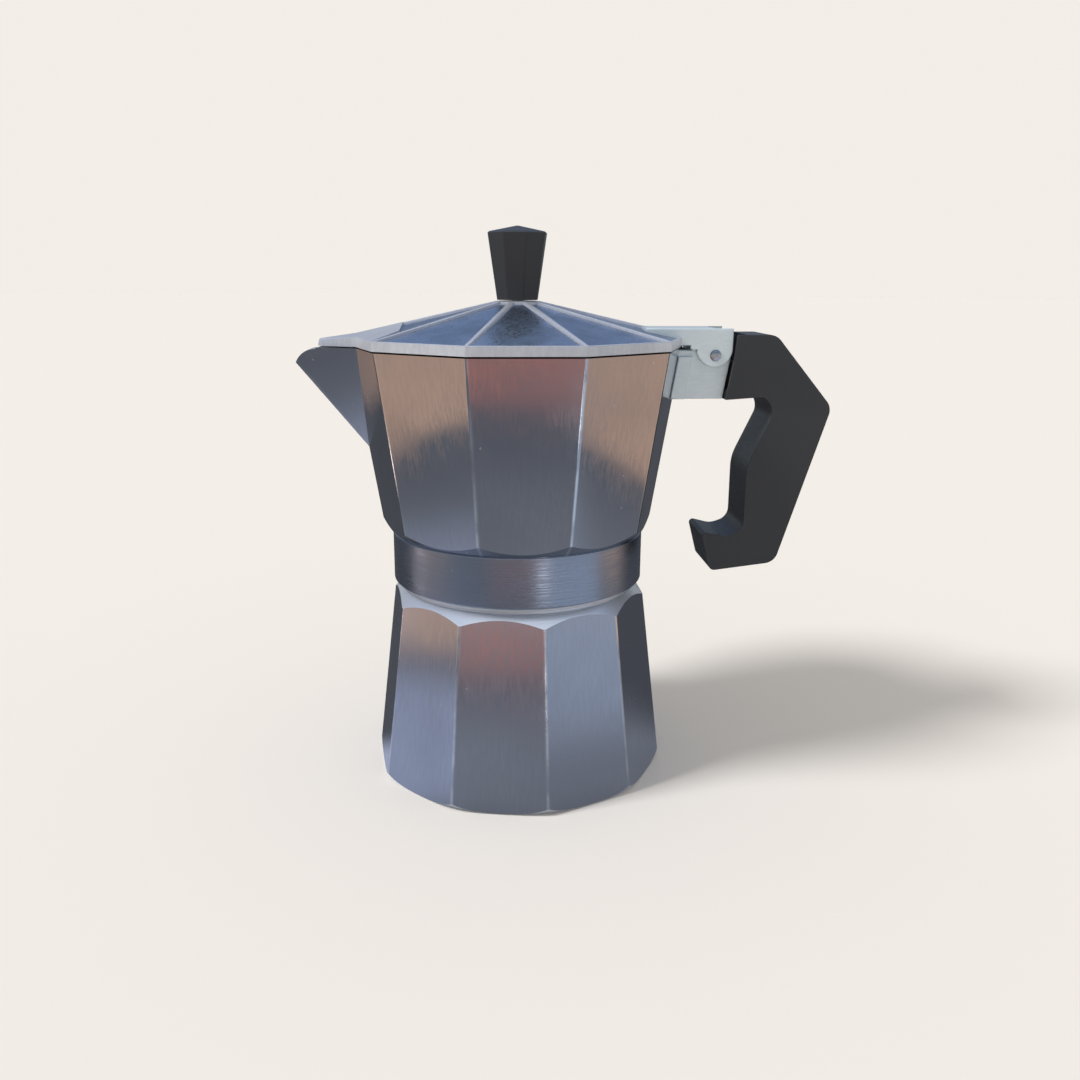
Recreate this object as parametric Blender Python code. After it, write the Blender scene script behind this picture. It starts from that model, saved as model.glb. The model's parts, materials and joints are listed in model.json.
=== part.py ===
"""A ten-sided stovetop coffee pot, built as the separate pieces it comes apart into.

Units are metres and +Z is up. The origin is the centre of the base. The handle is on +X, the spout on -X.
The boiler stands still. The collector unscrews from its neck, the lid swings on a pin at the handle, and
the safety valve's plunger slides along the normal of the boiler's facet.
"""

from math import atan, cos, hypot, pi, radians, sin, tan

import bmesh
import bpy
from mathutils import Matrix, Vector

# Shared form
SIDES = 10
HALF_SIDE = pi / SIDES
GAP = 0.0003
STEPS = 48
SMALL_STEPS = 16
ROUND_STEPS = 24
ARC_STEPS = 4
LIP_STEPS = 6
PLATE_STEPS = 32
HOLE_SIDES = 6

# Boiler
BOILER_TURN = radians(-9.8)
BOILER_BASE_R = 0.0446
SHOULDER_STEP = 0.0033
BOILER_SHOULDER_Z = 0.0531
BOILER_WALL = 0.0028
BOILER_FLOOR = 0.0030
FOOT_FILLET = 0.0040
NECK_BEAD_WIDTH = 0.0026
NECK_BEAD_HEIGHT = 0.0011
NECK_GROOVE_DEPTH = 0.0006
NECK_GROOVE_HEIGHT = 0.0008
NECK_HEIGHT = 0.0078
NECK_WALL = 0.0030
CAVITY_CORNER = 0.0020

# Thread between the boiler's neck and the collector's ring
THREAD_ROOT_R = 0.0323
THREAD_DEPTH = 0.0010
THREAD_PITCH = 0.0030
THREAD_TURNS = 1.7
THREAD_ROOT_WIDTH = 0.0014
THREAD_CREST_WIDTH = 0.0007
THREAD_START = 0.0016
THREAD_SINK = 0.0004
THREAD_PHASE = 0.37
GROOVE_EXTRA_TURNS = 1.1

# Funnel, strainer, gasket and filter plate
SHEET = 0.0008
BASKET_DEPTH = 0.0200
BASKET_CLEARANCE = 0.0005
STEM_R = 0.0052
STEM_FLOOR_GAP = 0.0060
BASKET_SLOPE = 0.0025
GASKET_WIDTH = 0.0055
GASKET_HEIGHT = 0.0028
PLATE_RIM_HEIGHT = 0.0020
HOLE_R = 0.0010
PLATE_HOLE_RINGS = 4
SCREEN_HOLE_RINGS = 3

# Collector
RING_WALL = 0.0049
RING_BOTTOM_GAP = 0.0006
RING_HEIGHT = 0.0144
RING_CHAMFER = 0.0003
BODY_TOP_R = 0.0483
BODY_HEIGHT = 0.0533
BODY_FOOT_STEP = 0.0025
BODY_WALL = 0.0022
WEB = 0.0021
CAVITY_FLOOR_STEP = 0.0042
UNDERCUT_INSET = 0.0003

# Riser column
COLUMN_BASE_R = 0.0070
COLUMN_TOP_R = 0.0050
COLUMN_BORE_R = 0.0026
COLUMN_SPIGOT_R = 0.0043
COLUMN_TOP_DROP = 0.0146
COLUMN_CHAMFER = 0.0004
COLUMN_CAP = 0.0030
COLUMN_PORT_R = 0.0021

# Spout
SPOUT_REACH = 0.0152
SPOUT_TIP_DROP = 0.0045
SPOUT_HEIGHT = 0.0287
SPOUT_HALF_WIDTH = 0.0075
SPOUT_WALL = 0.0015
SPOUT_KEEL_HALF = 0.0004
SPOUT_LIP_R = 0.0071
SPOUT_LIP_START = 155
SPOUT_LIP_END = 92
SPOUT_SHELF = 0.0072
SPOUT_ROOT = 0.0077

# Lid
LID_GAP = 0.0005
LID_OVERHANG = 0.0005
LID_SKIRT = 0.0026
LID_RISE = 0.0097
LID_FLAT_STEP = 0.0002
LID_WALL = 0.0016
LID_RIB = 0.0009
LID_PANEL_DEPTH = 0.0007
LID_PANEL_SLOPE = 0.0001
COVER_LENGTH = 0.0161
COVER_END_HALF = 0.0195
COVER_DEPTH = 0.0012
COVER_REACH = 0.0082
COVER_TIP_HALF = 0.0026
COVER_TIP_HEIGHT = 0.0020
COVER_TIP_EDGE = 0.0004
COVER_SEAT = 0.0001
COVER_TIP_ROOT = 0.0030
COVER_TIP_RIDGE = 0.0040
TIP_STEPS = 3

# Hinge, lug and lid channel
PIN_OFFSET = 0.0076
PIN_DROP = 0.0021
PIN_R = 0.0013
PIN_HEAD_R = 0.0015
PIN_HEAD = 0.0005
EAR_R = 0.0052
EAR_RISE = 0.0019
EAR_START = -177
EAR_STEPS = 12
CHANNEL_WALL = 0.0012
CHANNEL_TOP = 0.0014
CHANNEL_RISE = 0.0076
CHANNEL_FOOT = 0.0017
CHANNEL_REAR = 0.0050
CHANNEL_RUN = 0.0128
LUG_HALF = 0.0062
LUG_SLOT_HALF = 0.0034
LUG_HEIGHT = 0.0125
LUG_NOSE_R = 0.0050
LUG_FLOOR = 0.0014
LUG_PAD_DEPTH = 0.0019
LUG_SLANT = 0.0021
LUG_NOSE_CUT = 0.0010

# Handle, as an outline in the XZ plane measured from the hinge pin
HANDLE_CHEEK = 0.0014
HANDLE_TOP = 0.0059
HANDLE_LIP = 0.0006
HANDLE_SHOULDER = 0.0170
HANDLE_REACH = 0.0345
HANDLE_KNEE_DROP = 0.0148
HANDLE_DROP = 0.0636
HANDLE_TOE_X = 0.0008
HANDLE_HEEL_X = 0.0204
HANDLE_HEEL_RISE = 0.0024
HOOK_NOSE = 0.0024
HOOK_HEIGHT = 0.0122
HOOK_DIP_X = 0.0046
HOOK_DIP = 0.0018
GRIP_FRONT_X = 0.0103
GRIP_MIDDLE_DROP = 0.0320
GRIP_BACK_X = 0.0178
GRIP_BACK_DROP = 0.0158
CROOK_X = 0.0147
CROOK_DROP = 0.0117
HANDLE_CORNER_R = 0.0042
HANDLE_TOE_R = 0.0018
HOOK_NOSE_R = 0.0011
HOOK_DIP_R = 0.0060
GRIP_MIDDLE_R = 0.0140
GRIP_BACK_R = 0.0048
CROOK_R = 0.0030
POCKET_CLEARANCE = 0.0015
TENON_EYE_R = 0.0044

# Knob
KNOB_SIDES = 8
KNOB_TURN = radians(13.5)
KNOB_BASE_R = 0.0061
KNOB_TOP_R = 0.0088
KNOB_HEIGHT = 0.0183
KNOB_CHAMFER = 0.0004
KNOB_PEAK = 0.0020
SCREW_R = 0.0019
SCREW_LENGTH = 0.0100
SCREW_HEAD_R = 0.0035
SCREW_HEAD_HEIGHT = 0.0017
SCREW_SLOT = 0.0008
WASHER_R = 0.0046
INSERT_WALL = 0.0012
INSERT_LENGTH = 0.0070

# Safety valve
VALVE_FACET = 2
VALVE_DROP = 0.0151
VALVE_SHANK_R = 0.0039
VALVE_HEX_R = 0.0069
VALVE_HEX_HEIGHT = 0.0050
VALVE_WASHER = 0.0007
VALVE_CHAMBER_R = 0.0026
VALVE_INLET_R = 0.0014
VALVE_SEAT = 0.0026
VALVE_SEAL = 0.0005
VALVE_HEAD_R = 0.0021
VALVE_HEAD = 0.0007
VALVE_STEM_R = 0.0008
VALVE_STEM_PROUD = 0.0010
VALVE_RETAINER = 0.0007
VALVE_INNER_PROUD = 0.0016
SPRING_WIRE_SIDES = 5
SPRING_TURN_STEPS = 12
SPRING_R = 0.0017
SPRING_WIRE_R = 0.00028
SPRING_TURNS = 5

# Heights and radii that follow from the sizes above
NECK_BEAD_R = THREAD_ROOT_R + NECK_BEAD_WIDTH
BOILER_SHOULDER_R = NECK_BEAD_R + SHOULDER_STEP
BOILER_TAPER = (BOILER_BASE_R - BOILER_SHOULDER_R) / BOILER_SHOULDER_Z
SHOULDER_TOP_Z = BOILER_SHOULDER_Z + SHOULDER_STEP
BEAD_TOP_Z = SHOULDER_TOP_Z + NECK_GROOVE_HEIGHT + NECK_BEAD_HEIGHT
NECK_TOP_Z = BEAD_TOP_Z + NECK_HEIGHT
NECK_BORE_R = THREAD_ROOT_R - NECK_WALL
VALVE_Z = BOILER_SHOULDER_Z - VALVE_DROP
RING_R = THREAD_ROOT_R + RING_WALL
RING_BOTTOM_Z = BEAD_TOP_Z + RING_BOTTOM_GAP
RING_TOP_Z = RING_BOTTOM_Z + RING_HEIGHT
RING_BORE_R = THREAD_ROOT_R + GAP
FLANGE_Z = NECK_TOP_Z + GAP
GASKET_Z = FLANGE_Z + SHEET + GAP
CEILING_Z = GASKET_Z + GASKET_HEIGHT + GAP
FLOOR_Z = CEILING_Z + WEB
BODY_TOP_Z = RING_TOP_Z + BODY_HEIGHT
BODY_TAPER = (BODY_TOP_R - RING_R - BODY_FOOT_STEP) / BODY_HEIGHT
CAVITY_FLOOR_R = RING_R - CAVITY_FLOOR_STEP
COLUMN_TOP_Z = BODY_TOP_Z - COLUMN_TOP_DROP
GASKET_R = RING_BORE_R - 2 * GAP
PLATE_R = GASKET_R - GASKET_WIDTH - GAP
LID_R = BODY_TOP_R + LID_OVERHANG
LID_FLAT_R = KNOB_BASE_R + LID_FLAT_STEP
LID_Z = BODY_TOP_Z + LID_GAP
LID_RIM_Z = LID_Z + LID_SKIRT
LID_TOP_Z = LID_RIM_Z + LID_RISE
PIN_X = LID_R + PIN_OFFSET
PIN_Z = BODY_TOP_Z - PIN_DROP
CHANNEL_HALF = LUG_HALF + GAP + CHANNEL_WALL
LUG_PAD_HALF = CHANNEL_HALF - GAP
POCKET_HALF = CHANNEL_HALF + GAP
POCKET_R = hypot(CHANNEL_REAR, CHANNEL_RISE) + POCKET_CLEARANCE
HANDLE_HALF = POCKET_HALF + HANDLE_CHEEK
TENON_HALF = LUG_SLOT_HALF - GAP

# How far a cutter runs past what it cuts, and how much a solid is made too tall before it is trimmed
OVER = 0.0010
TRIM = 0.0010


def body_radius(z):
    """Corner radius of the collector's outside at a height."""
    return BODY_TOP_R - BODY_TAPER * (BODY_TOP_Z - z)


def boiler_radius(z):
    """Corner radius of the boiler's outside at a height."""
    return BOILER_BASE_R - BOILER_TAPER * z


def clear_scene():
    """Remove every object of the scene."""
    for item in list(bpy.data.objects):
        bpy.data.objects.remove(item, do_unlink=True)


def material(name, colour, roughness, metallic):
    """Make a plain Principled material."""
    made = bpy.data.materials.new(name)
    made.use_nodes = True
    shader = made.node_tree.nodes["Principled BSDF"]
    shader.inputs["Base Color"].default_value = (*colour, 1.0)
    shader.inputs["Roughness"].default_value = roughness
    shader.inputs["Metallic"].default_value = metallic
    return made


def new_object(name, bm):
    """Turn a bmesh into an object of the scene and free the bmesh."""
    mesh = bpy.data.meshes.new(name)
    bmesh.ops.recalc_face_normals(bm, faces=bm.faces)
    bm.to_mesh(mesh)
    bm.free()
    made = bpy.data.objects.new(name, mesh)
    bpy.context.scene.collection.objects.link(made)
    return made


def combine(target, tool, operation):
    """Apply a Boolean of two objects to the first and remove the second."""
    modifier = target.modifiers.new("combine", "BOOLEAN")
    modifier.operation = operation
    modifier.solver = "EXACT"
    modifier.object = tool
    graph = bpy.context.evaluated_depsgraph_get()
    mesh = bpy.data.meshes.new_from_object(target.evaluated_get(graph))
    target.modifiers.clear()
    target.data = mesh
    bpy.data.objects.remove(tool, do_unlink=True)


def cut(target, tool):
    """Subtract a tool from an object."""
    combine(target, tool, "DIFFERENCE")


def join(target, tool):
    """Union a tool with an object."""
    combine(target, tool, "UNION")


def ring(bm, radius, z, count, turn=0.0):
    """Add a closed ring of vertices at one height."""
    verts = []
    for index in range(count):
        angle = turn + 2 * pi * index / count
        verts.append(bm.verts.new((radius * cos(angle), radius * sin(angle), z)))
    return verts


def skin(bm, low, high):
    """Fill the band of faces between two rings of the same count."""
    count = len(low)
    for index in range(count):
        after = (index + 1) % count
        bm.faces.new((low[index], low[after], high[after], high[index]))


def prism(name, levels, count=SIDES, turn=0.0):
    """Loft a closed solid through polygons given as (radius, z), lowest first."""
    bm = bmesh.new()
    rings = [ring(bm, radius, z, count, turn) for radius, z in levels]
    for low, high in zip(rings, rings[1:]):
        skin(bm, low, high)
    bm.faces.new(rings[0])
    bm.faces.new(rings[-1])
    return new_object(name, bm)


def turned(name, profile, count=STEPS):
    """Turn a closed (r, z) loop about Z; its first and last points are on the axis or it is a ring."""
    bm = bmesh.new()
    on_axis = [abs(radius) < 1e-9 for radius, _ in profile]
    rings = []
    for (radius, z), centre in zip(profile, on_axis):
        rings.append([bm.verts.new((0, 0, z))] if centre else ring(bm, radius, z, count))
    pairs = list(zip(rings, rings[1:]))
    if not (on_axis[0] and on_axis[-1]):
        pairs.append((rings[-1], rings[0]))
    for low, high in pairs:
        if len(low) == 1:
            for index in range(count):
                bm.faces.new((low[0], high[(index + 1) % count], high[index]))
        elif len(high) == 1:
            for index in range(count):
                bm.faces.new((low[index], low[(index + 1) % count], high[0]))
        else:
            skin(bm, low, high)
    return new_object(name, bm)


def cylinder(name, radius, start, end, count=SMALL_STEPS):
    """A solid cylinder from one point to another."""
    start = Vector(start)
    axis = Vector(end) - start
    bm = bmesh.new()
    low = ring(bm, radius, 0.0, count)
    high = ring(bm, radius, axis.length, count)
    skin(bm, low, high)
    bm.faces.new(low)
    bm.faces.new(high)
    turn = axis.to_track_quat("Z", "Y").to_matrix().to_4x4()
    bmesh.ops.transform(bm, matrix=Matrix.Translation(start) @ turn, verts=bm.verts)
    return new_object(name, bm)


def hull(name, points):
    """The convex solid around some points."""
    bm = bmesh.new()
    verts = [bm.verts.new(point) for point in points]
    done = bmesh.ops.convex_hull(bm, input=verts)
    spare = [item for item in done["geom_interior"] if isinstance(item, bmesh.types.BMVert)]
    bmesh.ops.delete(bm, geom=spare, context="VERTS")
    bmesh.ops.dissolve_limit(bm, angle_limit=radians(0.05), verts=bm.verts, edges=bm.edges)
    return new_object(name, bm)


def mirrored(points):
    """Points with their mirror images across the XZ plane."""
    return [(x, side * y, z) for x, y, z in points for side in (1, -1)]


def slab(name, outline, half):
    """Extrude an (x, z) outline to both sides of the XZ plane."""
    bm = bmesh.new()
    near = [bm.verts.new((x, -half, z)) for x, z in outline]
    far = [bm.verts.new((x, half, z)) for x, z in outline]
    skin(bm, near, far)
    bm.faces.new(near)
    bm.faces.new(far)
    return new_object(name, bm)


def block(name, low, high):
    """A box between two corners."""
    corners = [(x, y, z) for x in (low[0], high[0]) for y in (low[1], high[1]) for z in (low[2], high[2])]
    return hull(name, corners)


def arc(centre, radius, start, end, steps):
    """Points of an arc in a plane, angles in degrees."""
    points = []
    for index in range(steps + 1):
        angle = radians(start + (end - start) * index / steps)
        points.append((centre[0] + radius * cos(angle), centre[1] + radius * sin(angle)))
    return points


def rounded(corners, radii, steps=ARC_STEPS):
    """Round the corners of a closed outline, each with its own radius."""
    points = []
    count = len(corners)
    for index, (corner, radius) in enumerate(zip(corners, radii)):
        here = Vector(corner)
        before = (Vector(corners[index - 1]) - here).normalized()
        after = (Vector(corners[(index + 1) % count]) - here).normalized()
        if radius == 0:
            points.append(tuple(here))
            continue
        half = before.angle(after) / 2
        reach = radius / tan(half)
        centre = here + (before + after).normalized() * radius / sin(half)
        first = here + before * reach - centre
        last = here + after * reach - centre
        for step in range(steps + 1):
            spoke = first.lerp(last, step / steps).normalized() * radius
            points.append(tuple(centre + spoke))
    return points


def thread_ridge(name, start_z, turns, grow):
    """A helical ridge of the neck's thread; grow thickens it all round for the female side."""
    bm = bmesh.new()
    count = int(round(turns * STEPS))
    inner = THREAD_ROOT_R - THREAD_SINK
    outer = THREAD_ROOT_R + THREAD_DEPTH + grow
    root_half = THREAD_ROOT_WIDTH / 2 + grow
    crest_half = THREAD_CREST_WIDTH / 2 + grow
    sections = []
    for index in range(count + 1):
        angle = 2 * pi * (index + THREAD_PHASE) / STEPS
        z = start_z + THREAD_PITCH * index / STEPS
        section = []
        corners = ((inner, -root_half), (outer, -crest_half), (outer, crest_half), (inner, root_half))
        for radius, offset in corners:
            section.append(bm.verts.new((radius * cos(angle), radius * sin(angle), z + offset)))
        sections.append(section)
    for low, high in zip(sections, sections[1:]):
        skin(bm, low, high)
    bm.faces.new(sections[0])
    bm.faces.new(sections[-1])
    return new_object(name, bm)


def perforations(name, rings, spacing, low, high):
    """Hexagonal rods for punching rings of small holes, one in the centre."""
    bm = bmesh.new()
    places = [(0.0, 0.0)]
    for number in range(1, rings + 1):
        for index in range(6 * number):
            angle = 2 * pi * index / (6 * number)
            places.append((number * spacing * cos(angle), number * spacing * sin(angle)))
    for x, y in places:
        bottom = ring(bm, HOLE_R, low, HOLE_SIDES)
        top = ring(bm, HOLE_R, high, HOLE_SIDES)
        bmesh.ops.translate(bm, verts=bottom + top, vec=(x, y, 0))
        skin(bm, bottom, top)
        bm.faces.new(bottom)
        bm.faces.new(top)
    return new_object(name, bm)


def finish(made, finish_material, parent=None, sharp=30):
    """Name the data, set the material and shading, and hang the piece on its axis empty."""
    made.data.name = made.name
    made.data.materials.clear()
    made.data.materials.append(finish_material)
    made.data.shade_smooth()
    made.data.set_sharp_from_angle(angle=radians(sharp))
    if parent is not None:
        made.data.transform(parent.matrix_world.inverted())
        made.parent = parent
    return made


def axis_empty(name, matrix):
    """An empty that marks a joint's axis."""
    made = bpy.data.objects.new(name, None)
    bpy.context.scene.collection.objects.link(made)
    made.matrix_world = matrix
    bpy.context.view_layer.update()
    return made


def valve_matrix():
    """Frame on the boiler's facet with its Z along the facet's outward normal."""
    heading = BOILER_TURN + (2 * VALVE_FACET + 1) * HALF_SIDE
    reach = boiler_radius(VALVE_Z) * cos(HALF_SIDE)
    lean = atan(BOILER_TAPER * cos(HALF_SIDE))
    place = Matrix.Translation((reach * cos(heading), reach * sin(heading), VALVE_Z))
    return place @ Matrix.Rotation(heading, 4, "Z") @ Matrix.Rotation(pi / 2 - lean, 4, "Y")


def along(matrix, low, high):
    """Two points on the Z axis of a frame."""
    return matrix @ Vector((0, 0, low)), matrix @ Vector((0, 0, high))


def boiler(metal, valve_frame):
    """Ten-sided cast boiler with a turned shoulder, beaded neck and male thread."""
    made = prism(
        "boiler",
        [(boiler_radius(-OVER), -OVER), (boiler_radius(SHOULDER_TOP_Z + OVER), SHOULDER_TOP_Z + OVER)],
        turn=BOILER_TURN,
    )
    wide = BOILER_BASE_R + OVER
    foot = BOILER_BASE_R - FOOT_FILLET
    envelope = [(0, 0)]
    envelope += arc((foot, FOOT_FILLET), FOOT_FILLET, -90, 0, ARC_STEPS + 1)
    envelope += [
        (wide, FOOT_FILLET + OVER),
        (wide, BOILER_SHOULDER_Z - (wide - BOILER_SHOULDER_R)),
        (NECK_BEAD_R, SHOULDER_TOP_Z),
        (0, SHOULDER_TOP_Z),
    ]
    combine(made, turned("envelope", envelope), "INTERSECT")
    groove_r = NECK_BEAD_R - NECK_GROOVE_DEPTH
    bead_z = SHOULDER_TOP_Z + NECK_GROOVE_HEIGHT
    neck = [
        (0, BOILER_SHOULDER_Z),
        (groove_r, BOILER_SHOULDER_Z),
        (groove_r, bead_z),
        (NECK_BEAD_R, bead_z),
        (NECK_BEAD_R, BEAD_TOP_Z),
        (THREAD_ROOT_R, BEAD_TOP_Z),
        (THREAD_ROOT_R, NECK_TOP_Z),
        (0, NECK_TOP_Z),
    ]
    join(made, turned("neck", neck))
    join(made, thread_ridge("thread", BEAD_TOP_Z + THREAD_START, THREAD_TURNS, 0.0))
    throat_z = BOILER_SHOULDER_Z - BOILER_WALL
    low_r = boiler_radius(BOILER_FLOOR) * cos(HALF_SIDE) - BOILER_WALL
    high_r = boiler_radius(throat_z) * cos(HALF_SIDE) - BOILER_WALL
    cavity = [
        (0, BOILER_FLOOR),
        (low_r - CAVITY_CORNER, BOILER_FLOOR),
        (low_r, BOILER_FLOOR + CAVITY_CORNER),
        (high_r, throat_z),
        (NECK_BORE_R, throat_z + high_r - NECK_BORE_R),
        (NECK_BORE_R, NECK_TOP_Z + OVER),
        (0, NECK_TOP_Z + OVER),
    ]
    cut(made, turned("cavity", cavity))
    reach = BOILER_WALL * 4
    cut(made, cylinder("valve_hole", VALVE_SHANK_R + GAP, *along(valve_frame, -reach, reach)))
    return finish(made, metal)


def valve_pieces(brass, steel, fibre, rubber, valve_frame):
    """Hexagonal valve with washer, seal, plunger, spring and retaining ring, along its own Z."""
    axis = axis_empty("valve_axis", valve_frame)
    hex_z = GAP + VALVE_WASHER + GAP
    end_z = hex_z + VALVE_HEX_HEIGHT
    inner_z = -BOILER_WALL - VALVE_INNER_PROUD
    seat_z = inner_z + VALVE_SEAT

    def local(made, finish_material):
        made.data.transform(valve_frame)
        return finish(made, finish_material, axis)

    body = prism("valve_body", [(VALVE_HEX_R, hex_z), (VALVE_HEX_R, end_z)], 6)
    join(body, cylinder("shank", VALVE_SHANK_R, (0, 0, inner_z), (0, 0, hex_z + OVER), ROUND_STEPS))
    cut(body, cylinder("chamber", VALVE_CHAMBER_R, (0, 0, seat_z), (0, 0, end_z + OVER), ROUND_STEPS))
    cut(body, cylinder("inlet", VALVE_INLET_R, (0, 0, inner_z - OVER), (0, 0, seat_z + OVER)))
    local(body, brass)

    washer_r = VALVE_HEX_R * cos(pi / 6)
    low, high = GAP, GAP + VALVE_WASHER
    shank_r = VALVE_SHANK_R + GAP
    washer = [(shank_r, high), (washer_r, high), (washer_r, low), (shank_r, low)]
    local(turned("valve_washer", washer, ROUND_STEPS), fibre)

    seal_z = seat_z + GAP
    local(cylinder("valve_seal", VALVE_HEAD_R, (0, 0, seal_z), (0, 0, seal_z + VALVE_SEAL)), rubber)

    head_z = seal_z + VALVE_SEAL + GAP
    spring_z = head_z + VALVE_HEAD + GAP
    tip_z = end_z + VALVE_STEM_PROUD
    plunger = [
        (0, tip_z),
        (VALVE_STEM_R / 2, tip_z),
        (VALVE_STEM_R, tip_z - VALVE_STEM_R / 2),
        (VALVE_STEM_R, head_z + VALVE_HEAD),
        (VALVE_HEAD_R, head_z + VALVE_HEAD),
        (VALVE_HEAD_R, head_z),
        (0, head_z),
    ]
    local(turned("valve_plunger", plunger, SMALL_STEPS), steel)

    ring_high = end_z - GAP
    ring_low = ring_high - VALVE_RETAINER
    bore = VALVE_STEM_R + GAP
    outer = VALVE_CHAMBER_R - GAP
    retainer = [(bore, ring_high), (outer, ring_high), (outer, ring_low), (bore, ring_low)]
    local(turned("valve_retainer", retainer, ROUND_STEPS), steel)

    first = spring_z + SPRING_WIRE_R
    last = ring_low - GAP - SPRING_WIRE_R
    local(spring("valve_spring", SPRING_R, SPRING_WIRE_R, first, last, SPRING_TURNS), steel)


def spring(name, radius, wire, low, high, turns):
    """A coil spring along Z as a tube that follows a helix."""
    bm = bmesh.new()
    sections = []
    count = turns * SPRING_TURN_STEPS
    for index in range(count + 1):
        angle = 2 * pi * index / SPRING_TURN_STEPS
        z = low + (high - low) * index / count
        section = []
        for side in range(SPRING_WIRE_SIDES):
            around = 2 * pi * side / SPRING_WIRE_SIDES
            reach = radius + wire * cos(around)
            section.append(bm.verts.new((reach * cos(angle), reach * sin(angle), z + wire * sin(around))))
        sections.append(section)
    for low_ring, high_ring in zip(sections, sections[1:]):
        skin(bm, low_ring, high_ring)
    bm.faces.new(sections[0])
    bm.faces.new(sections[-1])
    return new_object(name, bm)


def funnel(metal):
    """Coffee basket with a flange that sits on the neck and a stem that dips into the water."""
    outer = NECK_BORE_R - BASKET_CLEARANCE
    inner = outer - SHEET
    flange_r = THREAD_ROOT_R - GAP
    top = FLANGE_Z + SHEET
    base_z = top - BASKET_DEPTH
    stem_z = BOILER_FLOOR + STEM_FLOOR_GAP
    profile = [
        (inner, top),
        (flange_r, top),
        (flange_r, FLANGE_Z),
        (outer, FLANGE_Z),
        (outer, base_z),
        (STEM_R, base_z - BASKET_SLOPE),
        (STEM_R, stem_z),
        (STEM_R - SHEET, stem_z),
        (STEM_R - SHEET, base_z - BASKET_SLOPE + SHEET),
        (inner, base_z + SHEET),
    ]
    finish(turned("funnel", profile), metal)
    screen_r = inner - GAP
    screen_z = base_z + SHEET + GAP
    screen = cylinder("funnel_screen", screen_r, (0, 0, screen_z), (0, 0, screen_z + SHEET), PLATE_STEPS)
    spacing = screen_r / (SCREEN_HOLE_RINGS + 1)
    cut(screen, perforations("punch", SCREEN_HOLE_RINGS, spacing, screen_z - SHEET, screen_z + 2 * SHEET))
    finish(screen, metal)


def seal_pieces(metal, rubber):
    """Gasket under the collector's ceiling and the filter plate that it holds."""
    inner = GASKET_R - GASKET_WIDTH
    top = GASKET_Z + GASKET_HEIGHT
    profile = [(inner, top), (GASKET_R, top), (GASKET_R, GASKET_Z), (inner, GASKET_Z)]
    finish(turned("gasket", profile), rubber)
    plate_z = top - PLATE_RIM_HEIGHT
    dish = [
        (0, plate_z + SHEET),
        (PLATE_R - SHEET, plate_z + SHEET),
        (PLATE_R - SHEET, top),
        (PLATE_R, top),
        (PLATE_R, plate_z),
        (0, plate_z),
    ]
    plate = turned("filter_plate", dish, PLATE_STEPS)
    spacing = PLATE_R / (PLATE_HOLE_RINGS + 1)
    cut(plate, perforations("punch", PLATE_HOLE_RINGS, spacing, plate_z - SHEET, plate_z + 2 * SHEET))
    finish(plate, metal)


def spout_solid(name, wall):
    """The V-shaped spout as a wedge; a wall above zero gives the hollow inside it."""
    half_angle = atan(SPOUT_HALF_WIDTH / (BODY_TOP_R + SPOUT_REACH - BODY_TOP_R * cos(HALF_SIDE)))
    keel_slope = (SPOUT_REACH + BODY_TAPER * SPOUT_HEIGHT) / (SPOUT_HEIGHT - SPOUT_TIP_DROP)
    shift = wall / sin(half_angle)
    rise = 2 * TRIM
    top_z = BODY_TOP_Z + rise
    keel_x = BODY_TOP_R + SPOUT_REACH + keel_slope * (SPOUT_TIP_DROP + rise) - shift
    root_x = BODY_TOP_R - SPOUT_ROOT
    root_half = (keel_x - root_x) * tan(half_angle)
    low_z = top_z - (keel_x - root_x) / keel_slope
    points = [(-keel_x, 0, top_z)]
    points += mirrored([(-root_x, root_half, top_z), (-root_x, SPOUT_KEEL_HALF, low_z)])
    return hull(name, points)


def spout_outer():
    """The spout's outside with its lip rounded down to the tip."""
    made = spout_solid("spout", 0.0)
    tip_x = BODY_TOP_R + SPOUT_REACH
    tip_z = BODY_TOP_Z - SPOUT_TIP_DROP
    start = radians(SPOUT_LIP_START)
    centre = (-tip_x - SPOUT_LIP_R * cos(start), tip_z - SPOUT_LIP_R * sin(start))
    lip = arc(centre, SPOUT_LIP_R, SPOUT_LIP_START, SPOUT_LIP_END, LIP_STEPS)
    shelf_x = -tip_x + SPOUT_SHELF
    above = BODY_TOP_Z + TRIM
    outline = [(0, 0), (-tip_x, 0), *lip, (shelf_x, BODY_TOP_Z), (shelf_x, above), (0, above)]
    combine(made, slab("lip", outline, BODY_TOP_R), "INTERSECT")
    return made


def lug_outline():
    """Side outline of the lug that carries the handle and the hinge pin."""
    low = PIN_Z - LUG_HEIGHT
    back = PIN_X + LUG_NOSE_R
    root = body_radius(low) - BODY_WALL
    shelf = BODY_TOP_Z - 2 * GAP
    front = LID_R + 3 * GAP
    brow = PIN_Z + LUG_NOSE_R - LUG_NOSE_CUT
    nose = arc((PIN_X, PIN_Z), LUG_NOSE_R, 0, 90, ARC_STEPS)
    return [(root, low), (back - LUG_SLANT, low), *nose, (front, brow), (front, shelf), (root, shelf)]


def lug():
    """Solid of the lug and of the pad that spreads it on the collector."""
    made = slab("lug", lug_outline(), LUG_HALF)
    low = PIN_Z - LUG_HEIGHT
    high = PIN_Z - GAP
    pad = [
        (body_radius(low) - BODY_WALL, low),
        (body_radius(low) + LUG_PAD_DEPTH, low),
        (body_radius(high) + LUG_PAD_DEPTH, high),
        (body_radius(high) - BODY_WALL, high),
    ]
    join(made, slab("pad", pad, LUG_PAD_HALF))
    return made


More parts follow.
